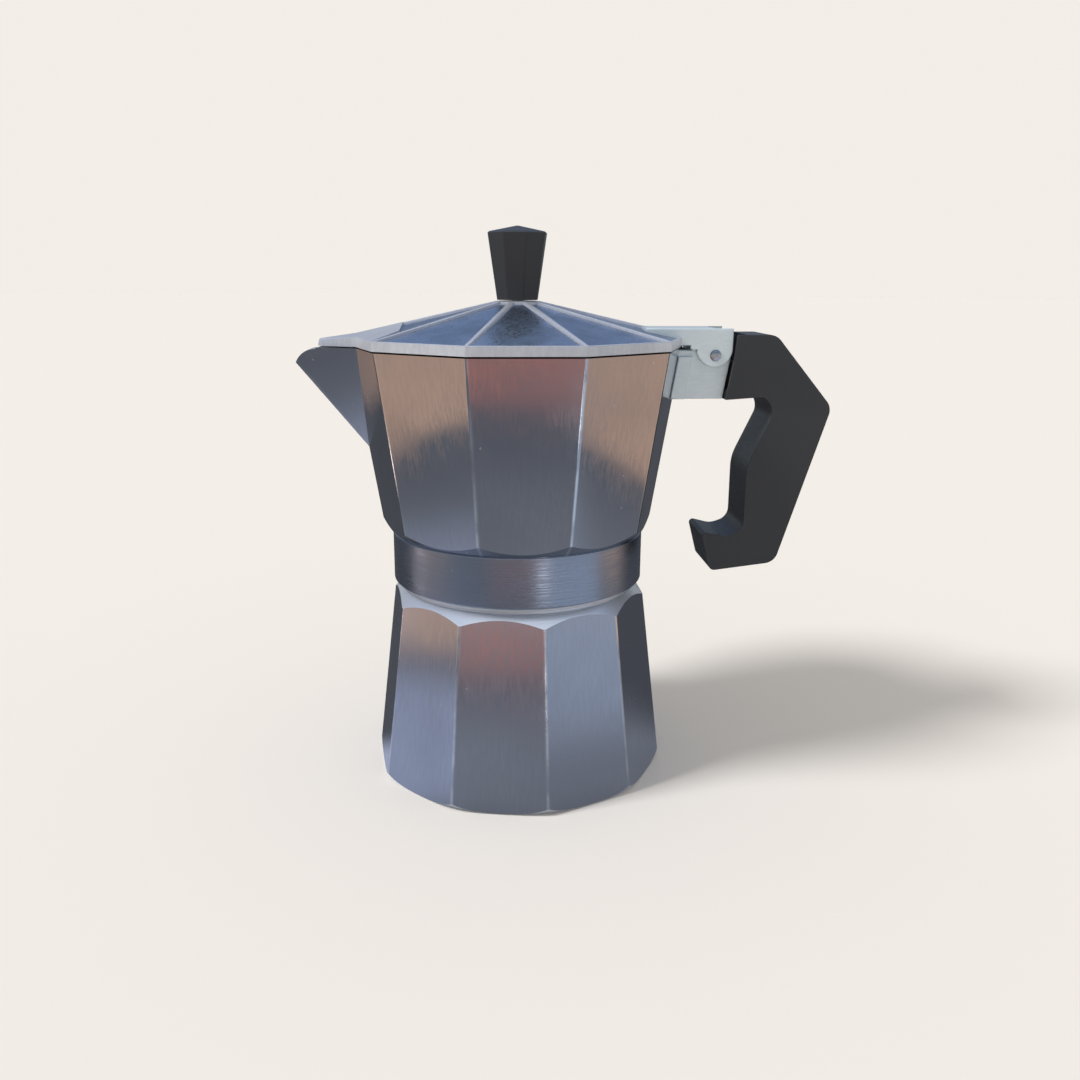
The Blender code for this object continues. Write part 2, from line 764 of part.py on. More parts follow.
def collector(metal, turn):
    """Ten-sided upper vessel with threaded ring, V spout and the lug of the handle."""
    made = prism(
        "collector",
        [(body_radius(FLOOR_Z - OVER), FLOOR_Z - OVER), (body_radius(BODY_TOP_Z + TRIM), BODY_TOP_Z + TRIM)],
    )
    inset = RING_R - UNDERCUT_INSET
    wide = BODY_TOP_R + OVER
    envelope = [
        (0, FLOOR_Z - OVER),
        (inset, FLOOR_Z - OVER),
        (inset, RING_TOP_Z),
        (wide, RING_TOP_Z + wide - inset),
        (wide, BODY_TOP_Z + 2 * TRIM),
        (0, BODY_TOP_Z + 2 * TRIM),
    ]
    combine(made, turned("envelope", envelope), "INTERSECT")
    edge = RING_CHAMFER
    band = [
        (0, RING_BOTTOM_Z),
        (RING_R - edge, RING_BOTTOM_Z),
        (RING_R, RING_BOTTOM_Z + edge),
        (RING_R, RING_TOP_Z - edge),
        (RING_R - edge, RING_TOP_Z),
        (0, RING_TOP_Z),
    ]
    join(made, turned("band", band))
    join(made, spout_outer())
    far = 2 * BODY_TOP_R
    cut(made, block("trim", (-far, -far, BODY_TOP_Z), (far, far, BODY_TOP_Z + 5 * TRIM)))
    join(made, lug())

    skew = BODY_WALL / cos(HALF_SIDE)
    room = prism(
        "room",
        [(body_radius(FLOOR_Z) - skew, FLOOR_Z), (body_radius(BODY_TOP_Z + OVER) - skew, BODY_TOP_Z + OVER)],
    )
    flare = [
        (0, FLOOR_Z),
        (CAVITY_FLOOR_R, FLOOR_Z),
        (wide, FLOOR_Z + wide - CAVITY_FLOOR_R),
        (wide, BODY_TOP_Z + 2 * OVER),
        (0, BODY_TOP_Z + 2 * OVER),
    ]
    combine(room, turned("flare", flare), "INTERSECT")
    cut(made, room)
    low, high = (0, 0, CEILING_Z - OVER), (0, 0, FLOOR_Z + OVER)
    cut(made, cylinder("riser_hole", COLUMN_SPIGOT_R + GAP, low, high, ROUND_STEPS))
    cut(made, spout_solid("channel", SPOUT_WALL))
    slot_x = body_radius(PIN_Z) + LUG_PAD_DEPTH
    low_z = PIN_Z - LUG_HEIGHT + LUG_FLOOR
    past = PIN_X + 2 * LUG_NOSE_R
    cut(made, block("slot", (slot_x, -LUG_SLOT_HALF, low_z), (past, LUG_SLOT_HALF, PIN_Z + 2 * LUG_NOSE_R)))
    reach = LUG_HALF + OVER
    cut(made, cylinder("pin_hole", PIN_R + GAP, (PIN_X, -reach, PIN_Z), (PIN_X, reach, PIN_Z)))
    groove_z = BEAD_TOP_Z + THREAD_START - THREAD_PITCH
    recess = cylinder("recess", RING_BORE_R, (0, 0, RING_BOTTOM_Z - 4 * OVER), (0, 0, CEILING_Z), STEPS)
    join(recess, thread_ridge("groove", groove_z, THREAD_TURNS + GROOVE_EXTRA_TURNS, GAP))
    cut(made, recess)
    return finish(made, metal, turn)


def riser_column(metal):
    """Hollow column that coffee rises through, with two outlets below its closed top."""
    base = FLOOR_Z + GAP
    top = COLUMN_TOP_Z
    ceiling = top - COLUMN_CAP
    spigot_z = CEILING_Z + GAP
    profile = [
        (0, top),
        (COLUMN_TOP_R - COLUMN_CAP / 2, top - COLUMN_CHAMFER),
        (COLUMN_TOP_R, top - COLUMN_CAP / 2),
        (COLUMN_BASE_R, base),
        (COLUMN_SPIGOT_R, base),
        (COLUMN_SPIGOT_R, spigot_z),
        (COLUMN_BORE_R, spigot_z),
        (COLUMN_BORE_R, ceiling),
        (0, ceiling),
    ]
    made = turned("riser_column", profile, ROUND_STEPS)
    port_z = ceiling - COLUMN_PORT_R
    reach = COLUMN_BASE_R
    cut(made, cylinder("port", COLUMN_PORT_R, (0, -reach, port_z), (0, reach, port_z)))
    return finish(made, metal)


def lid_height(radius):
    """Height of the lid's rib surface at a corner radius."""
    return LID_RIM_Z + LID_RISE * (LID_R - radius) / (LID_R - LID_FLAT_R)


def lid(metal, hinge):
    """Ten-sided lid: ribbed panels, a flat cover over the spout and the channel of the hinge."""
    made = lid_shell()
    join(made, spout_cover())
    join(made, spout_cover_tip())
    top = PIN_Z + CHANNEL_RISE
    rear = PIN_X + CHANNEL_REAR
    bridge_x = LID_R + GAP
    foot = PIN_Z + CHANNEL_FOOT
    ear_z = PIN_Z + EAR_RISE
    ear_x = rear - EAR_R
    sunk = LID_Z + 2 * COVER_SEAT
    front_x = LID_R - CHANNEL_RUN
    outline = [(front_x, top), (front_x, sunk), (bridge_x, sunk), (bridge_x, foot)]
    outline += arc((ear_x, ear_z), EAR_R, EAR_START, 0, EAR_STEPS)
    outline.append((rear, top))
    join(made, slab("channel", outline, CHANNEL_HALF))

    room = prism(
        "room",
        [
            (LID_R - LID_WALL, LID_Z - OVER),
            (LID_R - LID_WALL, LID_Z + OVER),
            (LID_FLAT_R, LID_TOP_Z - LID_PANEL_DEPTH - LID_WALL),
        ],
    )
    cut(made, room)
    inside = CHANNEL_HALF - CHANNEL_WALL
    slot_low = ear_z - EAR_R - OVER
    cut(made, block("hollow", (bridge_x - GAP / 2, -inside, slot_low), (rear + OVER, inside, top - CHANNEL_TOP)))
    cut(made, block("open_end", (PIN_X, -inside, slot_low), (rear + OVER, inside, top + OVER)))
    reach = CHANNEL_HALF + OVER
    cut(made, cylinder("pin_hole", PIN_R + GAP, (PIN_X, -reach, PIN_Z), (PIN_X, reach, PIN_Z)))
    cut(made, cylinder("screw_hole", SCREW_R + GAP, (0, 0, LID_Z), (0, 0, LID_TOP_Z + OVER)))
    return finish(made, metal, hinge)


def lid_shell():
    """The lid's ten-sided pyramid with a recessed panel between each pair of ribs."""
    bm = bmesh.new()
    low = ring(bm, LID_R, LID_Z, SIDES)
    rim = ring(bm, LID_R, LID_RIM_Z, SIDES)
    top = ring(bm, LID_FLAT_R, LID_TOP_Z, SIDES)
    skin(bm, low, rim)
    panels = []
    for index in range(SIDES):
        after = (index + 1) % SIDES
        panels.append(bm.faces.new((rim[index], rim[after], top[after], top[index])))
    bm.faces.new(low)
    bm.faces.new(top)
    bmesh.ops.recalc_face_normals(bm, faces=bm.faces)
    bmesh.ops.inset_individual(bm, faces=panels, thickness=LID_RIB, depth=0.0)
    bmesh.ops.inset_individual(bm, faces=panels, thickness=LID_PANEL_SLOPE, depth=-LID_PANEL_DEPTH)
    return new_object("lid", bm)


def spout_cover():
    """Fill that brings the two panels above the spout up to the height of the ribs."""
    inner_r = LID_R - 2 * COVER_SEAT
    end_x = LID_R - COVER_LENGTH
    corner = (-inner_r * cos(2 * HALF_SIDE), inner_r * sin(2 * HALF_SIDE))
    slope = LID_RISE / ((LID_R - LID_FLAT_R) * cos(HALF_SIDE))
    rim_reach = LID_R * cos(HALF_SIDE)

    def level(x, y):
        return LID_RIM_Z + COVER_SEAT + slope * (rim_reach - (-x * cos(HALF_SIDE) + y * sin(HALF_SIDE)))

    points = []
    for x, y in ((-end_x, COVER_END_HALF), corner):
        points += mirrored([(x, y, level(x, y)), (x, y, level(x, y) - COVER_DEPTH)])
    for x in (-end_x, -inner_r):
        points += [(x, 0, level(x, 0)), (x, 0, level(x, 0) - COVER_DEPTH)]
    return hull("cover", points)


def spout_cover_tip():
    """The part of the lid that reaches out over the spout and ends in a blunt rounded tip."""
    root_x = -LID_R * cos(HALF_SIDE) + GAP
    root_half = SPOUT_HALF_WIDTH + GAP
    tip_x = -LID_R - COVER_REACH
    low = LID_Z - 2 * COVER_SEAT
    rim = LID_RIM_Z - COVER_SEAT
    tip_top = low + COVER_TIP_HEIGHT
    back_x = root_x + COVER_TIP_ROOT
    ridge_r = LID_R - COVER_TIP_RIDGE
    points = mirrored([(root_x, root_half, low), (root_x, root_half, rim)])
    points += mirrored([(back_x, root_half / 2, low), (back_x, root_half / 2, rim)])
    points.append((-ridge_r, 0, lid_height(ridge_r)))
    edge = COVER_TIP_EDGE
    for x, y in arc((tip_x + COVER_TIP_HALF, 0), COVER_TIP_HALF, 180, 90, TIP_STEPS):
        nose = [(x, y, low), (x + edge, y * 0.9, tip_top - edge), (x + 2 * edge, y * 0.8, tip_top)]
        points += mirrored(nose) if y > edge else nose
    return hull("tip", points)


def hinge_pin(steel):
    """Rivet that the lid turns on; it holds the handle's tenon in the lug."""
    half = CHANNEL_HALF + GAP
    end = half + PIN_HEAD
    profile = [
        (0, end),
        (PIN_HEAD_R, end),
        (PIN_HEAD_R, half),
        (PIN_R, half),
        (PIN_R, -half),
        (PIN_HEAD_R, -half),
        (PIN_HEAD_R, -end),
        (0, -end),
    ]
    made = turned("hinge_pin", profile, SMALL_STEPS)
    made.data.transform(Matrix.Translation((PIN_X, 0, PIN_Z)) @ Matrix.Rotation(pi / 2, 4, "X"))
    return finish(made, steel)


def handle_outline():
    """Side outline of the handle, clockwise from its top front corner."""
    front = LUG_NOSE_R + GAP
    toe = -HANDLE_DROP
    corners = [
        (front + HANDLE_LIP, HANDLE_TOP, HANDLE_LIP),
        (HANDLE_SHOULDER, HANDLE_TOP, HANDLE_CORNER_R),
        (HANDLE_REACH, -HANDLE_KNEE_DROP, HANDLE_CORNER_R),
        (HANDLE_HEEL_X, toe + HANDLE_HEEL_RISE, HANDLE_CORNER_R),
        (HANDLE_TOE_X, toe, HANDLE_TOE_R),
        (-HOOK_NOSE, toe + HOOK_HEIGHT, HOOK_NOSE_R),
        (HOOK_DIP_X, toe + HOOK_HEIGHT - HOOK_DIP, HOOK_DIP_R),
        (GRIP_FRONT_X, toe + HOOK_HEIGHT, HANDLE_CORNER_R),
        (GRIP_FRONT_X, -GRIP_MIDDLE_DROP, GRIP_MIDDLE_R),
        (GRIP_BACK_X, -GRIP_BACK_DROP, GRIP_BACK_R),
        (CROOK_X, -CROOK_DROP, CROOK_R),
        (front - LUG_SLANT, -LUG_HEIGHT, 0.0),
        (front, 0.0, 0.0),
    ]
    places = [(PIN_X + x, PIN_Z + z) for x, z, _ in corners]
    return rounded(places, [radius for _, _, radius in corners])


def handle(plastic):
    """Moulded handle with the tenon that fits the lug and a pocket that the lid's heel turns in."""
    made = slab("handle", handle_outline(), HANDLE_HALF)
    cut(made, cylinder("pocket", POCKET_R, (PIN_X, -POCKET_HALF, PIN_Z), (PIN_X, POCKET_HALF, PIN_Z), STEPS))
    low = PIN_Z - LUG_HEIGHT + LUG_FLOOR + GAP
    high = PIN_Z - TENON_EYE_R / 2
    start = body_radius(PIN_Z) + LUG_PAD_DEPTH + GAP
    end = PIN_X + POCKET_R + OVER
    tenon = slab("tenon", [(start, low), (end, low), (end, high), (start, high)], TENON_HALF)
    eye = cylinder("eye", TENON_EYE_R, (PIN_X, -TENON_HALF, PIN_Z), (PIN_X, TENON_HALF, PIN_Z), ROUND_STEPS)
    join(tenon, eye)
    join(made, tenon)
    reach = TENON_HALF + OVER
    cut(made, cylinder("pin_hole", PIN_R + GAP, (PIN_X, -reach, PIN_Z), (PIN_X, reach, PIN_Z)))
    return finish(made, plastic)


def knob_pieces(plastic, steel, brass, hinge):
    """Faceted knob with its brass insert, and the screw and washer that hold it from inside the lid."""
    base = LID_TOP_Z + GAP
    top = base + KNOB_HEIGHT
    made = prism(
        "knob",
        [
            (KNOB_BASE_R, base),
            (KNOB_TOP_R, top),
            (KNOB_TOP_R - KNOB_CHAMFER, top + KNOB_CHAMFER),
            (KNOB_CHAMFER, top + KNOB_PEAK),
        ],
        KNOB_SIDES,
        KNOB_TURN,
    )
    screw_low = LID_TOP_Z - LID_PANEL_DEPTH - LID_WALL - 2 * GAP - SHEET
    screw_top = screw_low + SCREW_LENGTH
    insert_r = SCREW_R + GAP + INSERT_WALL
    depth = base + max(INSERT_LENGTH, screw_top - base) + GAP
    cut(made, cylinder("insert_hole", insert_r + GAP, (0, 0, base - OVER), (0, 0, depth)))
    finish(made, plastic, hinge)
    low, high = base + GAP, base + INSERT_LENGTH
    inner = SCREW_R + GAP
    insert = [(inner, high), (insert_r, high), (insert_r, low), (inner, low)]
    finish(turned("knob_insert", insert, SMALL_STEPS), brass, hinge)
    screw = [
        (0, screw_top),
        (SCREW_R, screw_top),
        (SCREW_R, screw_low),
        (SCREW_HEAD_R, screw_low),
        (SCREW_HEAD_R, screw_low - SCREW_HEAD_HEIGHT / 2),
        (SCREW_HEAD_R - SCREW_HEAD_HEIGHT / 2, screw_low - SCREW_HEAD_HEIGHT),
        (0, screw_low - SCREW_HEAD_HEIGHT),
    ]
    made = turned("knob_screw", screw, SMALL_STEPS)
    slot_low = screw_low - 2 * SCREW_HEAD_HEIGHT
    slot_high = screw_low - SCREW_HEAD_HEIGHT / 2
    half = SCREW_SLOT / 2
    cut(made, block("slot", (-SCREW_HEAD_R * 2, -half, slot_low), (SCREW_HEAD_R * 2, half, slot_high)))
    finish(made, steel, hinge)
    low, high = screw_low + GAP, screw_low + GAP + SHEET
    washer = [(inner, high), (WASHER_R, high), (WASHER_R, low), (inner, low)]
    finish(turned("knob_washer", washer, ROUND_STEPS), steel, hinge)


def main():
    """Build the pot."""
    clear_scene()
    cast = material("cast_aluminium", (0.62, 0.64, 0.68), 0.32, 1.0)
    polished = material("polished_aluminium", (0.55, 0.57, 0.62), 0.24, 1.0)
    sheet_metal = material("sheet_aluminium", (0.72, 0.73, 0.74), 0.35, 1.0)
    steel = material("steel", (0.60, 0.60, 0.60), 0.30, 1.0)
    brass = material("brass", (0.72, 0.53, 0.24), 0.30, 1.0)
    rubber = material("white_rubber", (0.80, 0.79, 0.75), 0.60, 0.0)
    fibre = material("fibre", (0.30, 0.12, 0.08), 0.80, 0.0)
    plastic = material("black_plastic", (0.035, 0.036, 0.040), 0.45, 0.0)

    valve_frame = valve_matrix()
    hinge = axis_empty("lid_hinge_axis", Matrix.Translation((PIN_X, 0, PIN_Z)))
    turn = axis_empty("collector_axis", Matrix.Translation((0, 0, RING_BOTTOM_Z)))

    boiler(polished, valve_frame)
    valve_pieces(brass, steel, fibre, rubber, valve_frame)
    funnel(sheet_metal)
    seal_pieces(sheet_metal, rubber)
    collector(polished, turn)
    riser_column(cast)
    lid(cast, hinge)
    hinge_pin(steel)
    handle(plastic)
    knob_pieces(plastic, steel, brass, hinge)


main()
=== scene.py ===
"""Studio scene of a ten-sided stovetop coffee pot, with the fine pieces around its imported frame.

Units are metres and +Z is up. The pot stands on its base at the origin, its spout on -X and its handle on +X.
"""

import json
import logging
from dataclasses import dataclass, field
from enum import Enum, IntEnum
from math import atan, cos, hypot, pi, radians, sin, tan
from typing import Sequence

import bmesh
import bpy
from mathutils import Matrix, Vector


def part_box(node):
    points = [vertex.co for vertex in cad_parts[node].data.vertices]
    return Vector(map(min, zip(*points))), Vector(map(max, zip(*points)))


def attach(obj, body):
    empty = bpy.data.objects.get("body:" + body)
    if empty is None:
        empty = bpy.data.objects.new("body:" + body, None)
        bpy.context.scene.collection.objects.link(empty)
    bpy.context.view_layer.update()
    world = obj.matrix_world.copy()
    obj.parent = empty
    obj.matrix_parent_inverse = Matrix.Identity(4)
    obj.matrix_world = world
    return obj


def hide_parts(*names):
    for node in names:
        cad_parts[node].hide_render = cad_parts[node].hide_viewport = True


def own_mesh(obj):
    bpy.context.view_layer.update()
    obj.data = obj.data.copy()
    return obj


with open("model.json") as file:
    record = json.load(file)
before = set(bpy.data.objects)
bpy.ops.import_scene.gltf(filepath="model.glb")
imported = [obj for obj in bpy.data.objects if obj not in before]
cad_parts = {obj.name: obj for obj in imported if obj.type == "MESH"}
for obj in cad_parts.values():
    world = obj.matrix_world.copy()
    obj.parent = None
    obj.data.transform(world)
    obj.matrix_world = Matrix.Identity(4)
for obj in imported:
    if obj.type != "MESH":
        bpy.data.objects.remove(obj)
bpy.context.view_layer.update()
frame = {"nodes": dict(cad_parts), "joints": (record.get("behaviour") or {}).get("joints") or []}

LOG = logging.getLogger("coffee_pot")

Form = bmesh.types.BMesh
Tree = bpy.types.NodeTree
Socket = bpy.types.NodeSocket
Outline = list[tuple[float, float]]
Colour = tuple[float, float, float]
Triple = tuple[float, float, float]

SIDES = 10
HALF_SIDE = pi / SIDES
STEPS = 160
SMALL_STEPS = 48
ARC_STEPS = 6
MERGE = 1e-6
FLAT_ANGLE = radians(0.1)
SHARP_ANGLE = radians(20)
GAP = 0.0003
OVER = 0.001


class Operation(Enum):
    """How a tool shapes a piece."""

    CUT = "DIFFERENCE"
    JOIN = "UNION"
    KEEP = "INTERSECT"


class Zone(IntEnum):
    """Places in a piece's list of finishes."""

    OUTSIDE = 0
    INSIDE = 1
    DETAIL = 2
    TRIM = 3


# ---------------------------------------------------------------- modelling


def arc(
    centre: tuple[float, float], radius: float, start: float, end: float, steps: int = ARC_STEPS
) -> Outline:
    """Points of an arc.

    Args:
        centre: middle of the arc in its plane.
        radius: radius of the arc.
        start: first angle in degrees.
        end: last angle in degrees.
        steps: number of chords.

    Returns:
        The points from start to end.
    """
    turns = [radians(start + (end - start) * step / steps) for step in range(steps + 1)]
    return [(centre[0] + radius * cos(turn), centre[1] + radius * sin(turn)) for turn in turns]


def rounded(corners: Sequence[tuple[float, float, float]], steps: int = ARC_STEPS) -> Outline:
    """Round the corners of a closed outline.

    Args:
        corners: points as (x, z, radius), in order.
        steps: chords in each rounded corner.

    Returns:
        The outline's points.
    """
    points: Outline = []
    for index, (x, z, radius) in enumerate(corners):
        here = Vector((x, z))
        if radius == 0:
            points.append((x, z))
            continue
        before = (Vector(corners[index - 1][:2]) - here).normalized()
        after = (Vector(corners[(index + 1) % len(corners)][:2]) - here).normalized()
        half = before.angle(after) / 2
        centre = here + (before + after).normalized() * radius / sin(half)
        first = here + before * radius / tan(half) - centre
        last = here + after * radius / tan(half) - centre
        for step in range(steps + 1):
            points.append(tuple(centre + first.lerp(last, step / steps).normalized() * radius))
    return points


def lathe(profile: Outline, zone: Zone = Zone.OUTSIDE, steps: int = STEPS) -> Form:
    """Turn a profile about Z.

    Args:
        profile: points as (radius, z); it runs from axis to axis, or is closed into a ring.
        zone: finish of its faces.
        steps: sides of the turned form.

    Returns:
        The closed form.
    """
    bm = bmesh.new()
    points = [bm.verts.new((radius, 0.0, z)) for radius, z in profile]
    edges = [bm.edges.new(pair) for pair in zip(points, points[1:])]
    if profile[0][0] > MERGE:
        edges.append(bm.edges.new((points[-1], points[0])))
    bmesh.ops.spin(
        bm, geom=points + edges, cent=(0, 0, 0), axis=(0, 0, 1), angle=2 * pi, steps=steps, use_merge=True
    )
    return cleaned(bm, zone)


def prism(
    levels: Sequence[tuple[float, float]],
    sides: int = SIDES,
    turn: float = 0.0,
    corner: float = 0.0,
    zone: Zone = Zone.OUTSIDE,
) -> Form:
    """Loft a many-sided form and round its upright corners.

    Args:
        levels: (corner radius, z) of each section, lowest first.
        sides: number of sides.
        turn: angle of the first corner from +X.
        corner: width of the rounded corners.
        zone: finish of its faces.

    Returns:
        The closed form.
    """
    bm = bmesh.new()
    radius, height = levels[0]
    bmesh.ops.create_circle(bm, cap_ends=True, radius=radius, segments=sides)
    bmesh.ops.rotate(bm, verts=bm.verts, cent=(0, 0, 0), matrix=Matrix.Rotation(turn - pi / 2, 3, "Z"))
    bmesh.ops.translate(bm, verts=bm.verts, vec=(0, 0, height))
    cap = bm.faces[:]
    for index, (next_radius, next_height) in enumerate(levels[1:]):
        grown = bmesh.ops.extrude_face_region(bm, geom=cap)["geom"]
        if index > 0:
            bmesh.ops.delete(bm, geom=[face for face in cap if face.is_valid], context="FACES_ONLY")
        cap = [item for item in grown if isinstance(item, bmesh.types.BMFace)]
        verts = [item for item in grown if isinstance(item, bmesh.types.BMVert)]
        share = next_radius / radius
        bmesh.ops.scale(bm, verts=verts, vec=(share, share, 1))
        bmesh.ops.translate(bm, verts=verts, vec=(0, 0, next_height - height))
        radius, height = next_radius, next_height
    if corner > 0:
        upright = [edge for edge in bm.edges if abs(edge.verts[0].co.z - edge.verts[1].co.z) > MERGE]
        wide = [edge for edge in upright if all(hypot(*vert.co.xy) > 8 * corner for vert in edge.verts)]
        round_edges(bm, wide, corner)
    return cleaned(bm, zone)


def plate(outline: Outline, half: float, zone: Zone = Zone.OUTSIDE, edge: float = 0.0) -> Form:
    """Extrude an (x, z) outline to both sides of the XZ plane.

    Args:
        outline: its points.
        half: half of its thickness.
        zone: finish of its faces.
        edge: width of the rounding round both outlines.

    Returns:
        The closed form.
    """
    bm = bmesh.new()
    face = bm.faces.new([bm.verts.new((x, -half, z)) for x, z in outline])
    grown = bmesh.ops.extrude_face_region(bm, geom=[face])["geom"]
    verts = [item for item in grown if isinstance(item, bmesh.types.BMVert)]
    bmesh.ops.translate(bm, verts=verts, vec=(0, 2 * half, 0))
    if edge > 0:
        rims = [item for item in bm.edges if abs(item.verts[0].co.y - item.verts[1].co.y) < MERGE]
        round_edges(bm, rims, edge)
    return cleaned(bm, zone)


def rod(
    radius: float, start: Triple, end: Triple, zone: Zone = Zone.OUTSIDE, steps: int = SMALL_STEPS
) -> Form:
    """A cylinder from one point to another.

    Args:
        radius: its radius.
        start: centre of one end.
        end: centre of the other end.
        zone: finish of its faces.
        steps: its sides.

    Returns:
        The closed form.
    """
    bm = bmesh.new()
    low, high = Vector(start), Vector(end)
    axis = high - low
    place = Matrix.Translation((low + high) / 2) @ axis.to_track_quat("Z", "Y").to_matrix().to_4x4()
    bmesh.ops.create_cone(
        bm, cap_ends=True, segments=steps, radius1=radius, radius2=radius, depth=axis.length, matrix=place
    )
    return cleaned(bm, zone)


def block(low: Triple, high: Triple, zone: Zone = Zone.OUTSIDE) -> Form:
    """A box between two corners."""
    bm = bmesh.new()
    size = Vector(high) - Vector(low)
    middle = Matrix.Translation((Vector(low) + Vector(high)) / 2)
    bmesh.ops.create_cube(bm, size=1.0, matrix=middle @ Matrix.Diagonal((*size, 1.0)))
    return cleaned(bm, zone)


def wrapped(points: Sequence[Triple], zone: Zone = Zone.OUTSIDE) -> Form:
    """The convex form around some points.

    Args:
        points: the corners.
        zone: finish of its faces.

    Returns:
        The closed form.
    """
    bm = bmesh.new()
    verts = [bm.verts.new(point) for point in points]
    made = bmesh.ops.convex_hull(bm, input=verts)
    spare = [item for item in made["geom_interior"] if isinstance(item, bmesh.types.BMVert)]
    bmesh.ops.delete(bm, geom=spare, context="VERTS")
    bmesh.ops.dissolve_limit(bm, angle_limit=FLAT_ANGLE, verts=bm.verts, edges=bm.edges)
    return cleaned(bm, zone)


def helix(section: Outline, pitch: float, turns: float, phase: float, zone: Zone = Zone.OUTSIDE) -> Form:
    """Sweep a small section round Z along a screw line.

    Args:
        section: points as (radius, z) of the closed section at its start.
        pitch: rise of one turn.
        turns: number of turns.
        phase: angle at which it starts.
        zone: finish of its faces.

    Returns:
        The closed form.
    """
    bm = bmesh.new()
    across, along = cos(phase), sin(phase)
    face = bm.faces.new([bm.verts.new((radius * across, radius * along, z)) for radius, z in section])
    steps = round(turns * STEPS)
    bmesh.ops.spin(
        bm,
        geom=[face, *face.edges, *face.verts],
        cent=(0, 0, 0),
        axis=(0, 0, 1),
        dvec=(0, 0, pitch / STEPS),
        angle=2 * pi * turns,
        steps=steps,
    )
    return cleaned(bm, zone)


def round_edges(bm: Form, edges: list[bmesh.types.BMEdge], width: float, segments: int = 3) -> None:
    """Round some edges of a form by a bevel."""
    bmesh.ops.bevel(
        bm,
        geom=edges,
        offset=width,
        offset_type="OFFSET",
        affect="EDGES",
        segments=segments,
        profile=0.5,
        material=-1,
        clamp_overlap=True,
    )


def cleaned(bm: Form, zone: Zone) -> Form:
    """Close seams and poles, turn the faces outwards and give them a finish."""
    bmesh.ops.remove_doubles(bm, verts=bm.verts, dist=MERGE)
    bmesh.ops.dissolve_degenerate(bm, edges=bm.edges, dist=MERGE)
    bmesh.ops.recalc_face_normals(bm, faces=bm.faces)
    for face in bm.faces:
        face.material_index = int(zone)
    return bm


@dataclass
class Piece:
    """A mesh object that is shaped by tools and then dressed.

    Attributes:
        name: the object's name.
        finishes: its materials, in the order of Zone.
        made: the object.
    """

    name: str
    finishes: list[bpy.types.Material]
    made: bpy.types.Object = field(init=False)

    def start(self, bm: Form) -> "Piece":
        """Make the object from its first form."""
        self.made = self._object(self.name, bm)
        return self

    def _object(self, name: str, bm: Form) -> bpy.types.Object:
        """Turn a form into an object of the scene."""
        mesh = bpy.data.meshes.new(name)
        bm.to_mesh(mesh)
        bm.free()
        for finish in self.finishes:
            mesh.materials.append(finish)
        made = bpy.data.objects.new(name, mesh)
        bpy.context.scene.collection.objects.link(made)
        return made

    def shape(self, bm: Form, operation: Operation) -> "Piece":
        """Shape the piece with a tool.

        Args:
            bm: the tool's form, which is used up.
            operation: cut, join or keep what they share.

        Returns:
            The piece itself.
        """
        tool = self._object(f"{self.name}_tool", bm)
        modifier = self.made.modifiers.new("shape", "BOOLEAN")
        modifier.operation = operation.value
        modifier.solver = "EXACT"
        modifier.object = tool
        graph = bpy.context.evaluated_depsgraph_get()
        mesh = bpy.data.meshes.new_from_object(self.made.evaluated_get(graph))
        self.made.modifiers.clear()
        self.made.data = mesh
        bpy.data.objects.remove(tool, do_unlink=True)
        return self

    def form(self) -> Form:
        """Give the shaped form back and drop the object."""
        bm = bmesh.new()
        graph = bpy.context.evaluated_depsgraph_get()
        bm.from_mesh(self.made.evaluated_get(graph).data)
        bpy.data.objects.remove(self.made, do_unlink=True)
        return bm

    def place(self, matrix: Matrix) -> "Piece":
        """Move the mesh itself, so that the object stays at the origin."""
        self.made.data.transform(matrix)
        return self

    def done(self, body: str, slot: str, *nodes: str, crease: float = 28.0) -> bpy.types.Object:
        """Shade the piece, put it on its body and let it stand for its nodes.

        Args:
            body: the body it rides on.
            slot: not used.
            *nodes: the nodes it stands for.
            crease: faces that meet at a smaller angle, in degrees, are shaded as one.

        Returns:
            The finished object.
        """
        bm = bmesh.new()
        bm.from_mesh(self.made.data)
        bmesh.ops.remove_doubles(bm, verts=bm.verts, dist=MERGE)
        bmesh.ops.dissolve_degenerate(bm, edges=bm.edges, dist=MERGE)
        bm.to_mesh(self.made.data)
        bm.free()
        self.made.data.name = self.name
        self.made.data.shade_smooth()
        self.made.data.set_sharp_from_angle(angle=radians(crease))
        weighted = self.made.modifiers.new("flat_faces", "WEIGHTED_NORMAL")
        weighted.keep_sharp = True
        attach(self.made, body)
        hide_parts(*nodes)
        LOG.info("%s: %d faces, rides on %s", self.name, len(self.made.data.polygons), body)
        return self.made


# ---------------------------------------------------------------- finishes


def add(tree: Tree, kind: str, inputs: dict | None = None, **settings) -> bpy.types.Node:
    """Add a shader node.

    Args:
        tree: the tree it goes in.
        kind: its type name, without the word ShaderNode.
        inputs: for some sockets, a value or the output that feeds it.
        **settings: its properties.

    Returns:
        The node.
    """
    node = tree.nodes.new(f"ShaderNode{kind}")
    for name, value in settings.items():
        setattr(node, name, value)
    for name, value in (inputs or {}).items():
        if isinstance(value, Socket):
            tree.links.new(value, node.inputs[name])
        else:
            node.inputs[name].default_value = value
    return node


def maths(tree: Tree, operation: str, first: Socket | float, second: Socket | float = 0.0) -> Socket:
    """The output of one Math node."""
    return add(tree, "Math", {0: first, 1: second}, operation=operation).outputs[0]


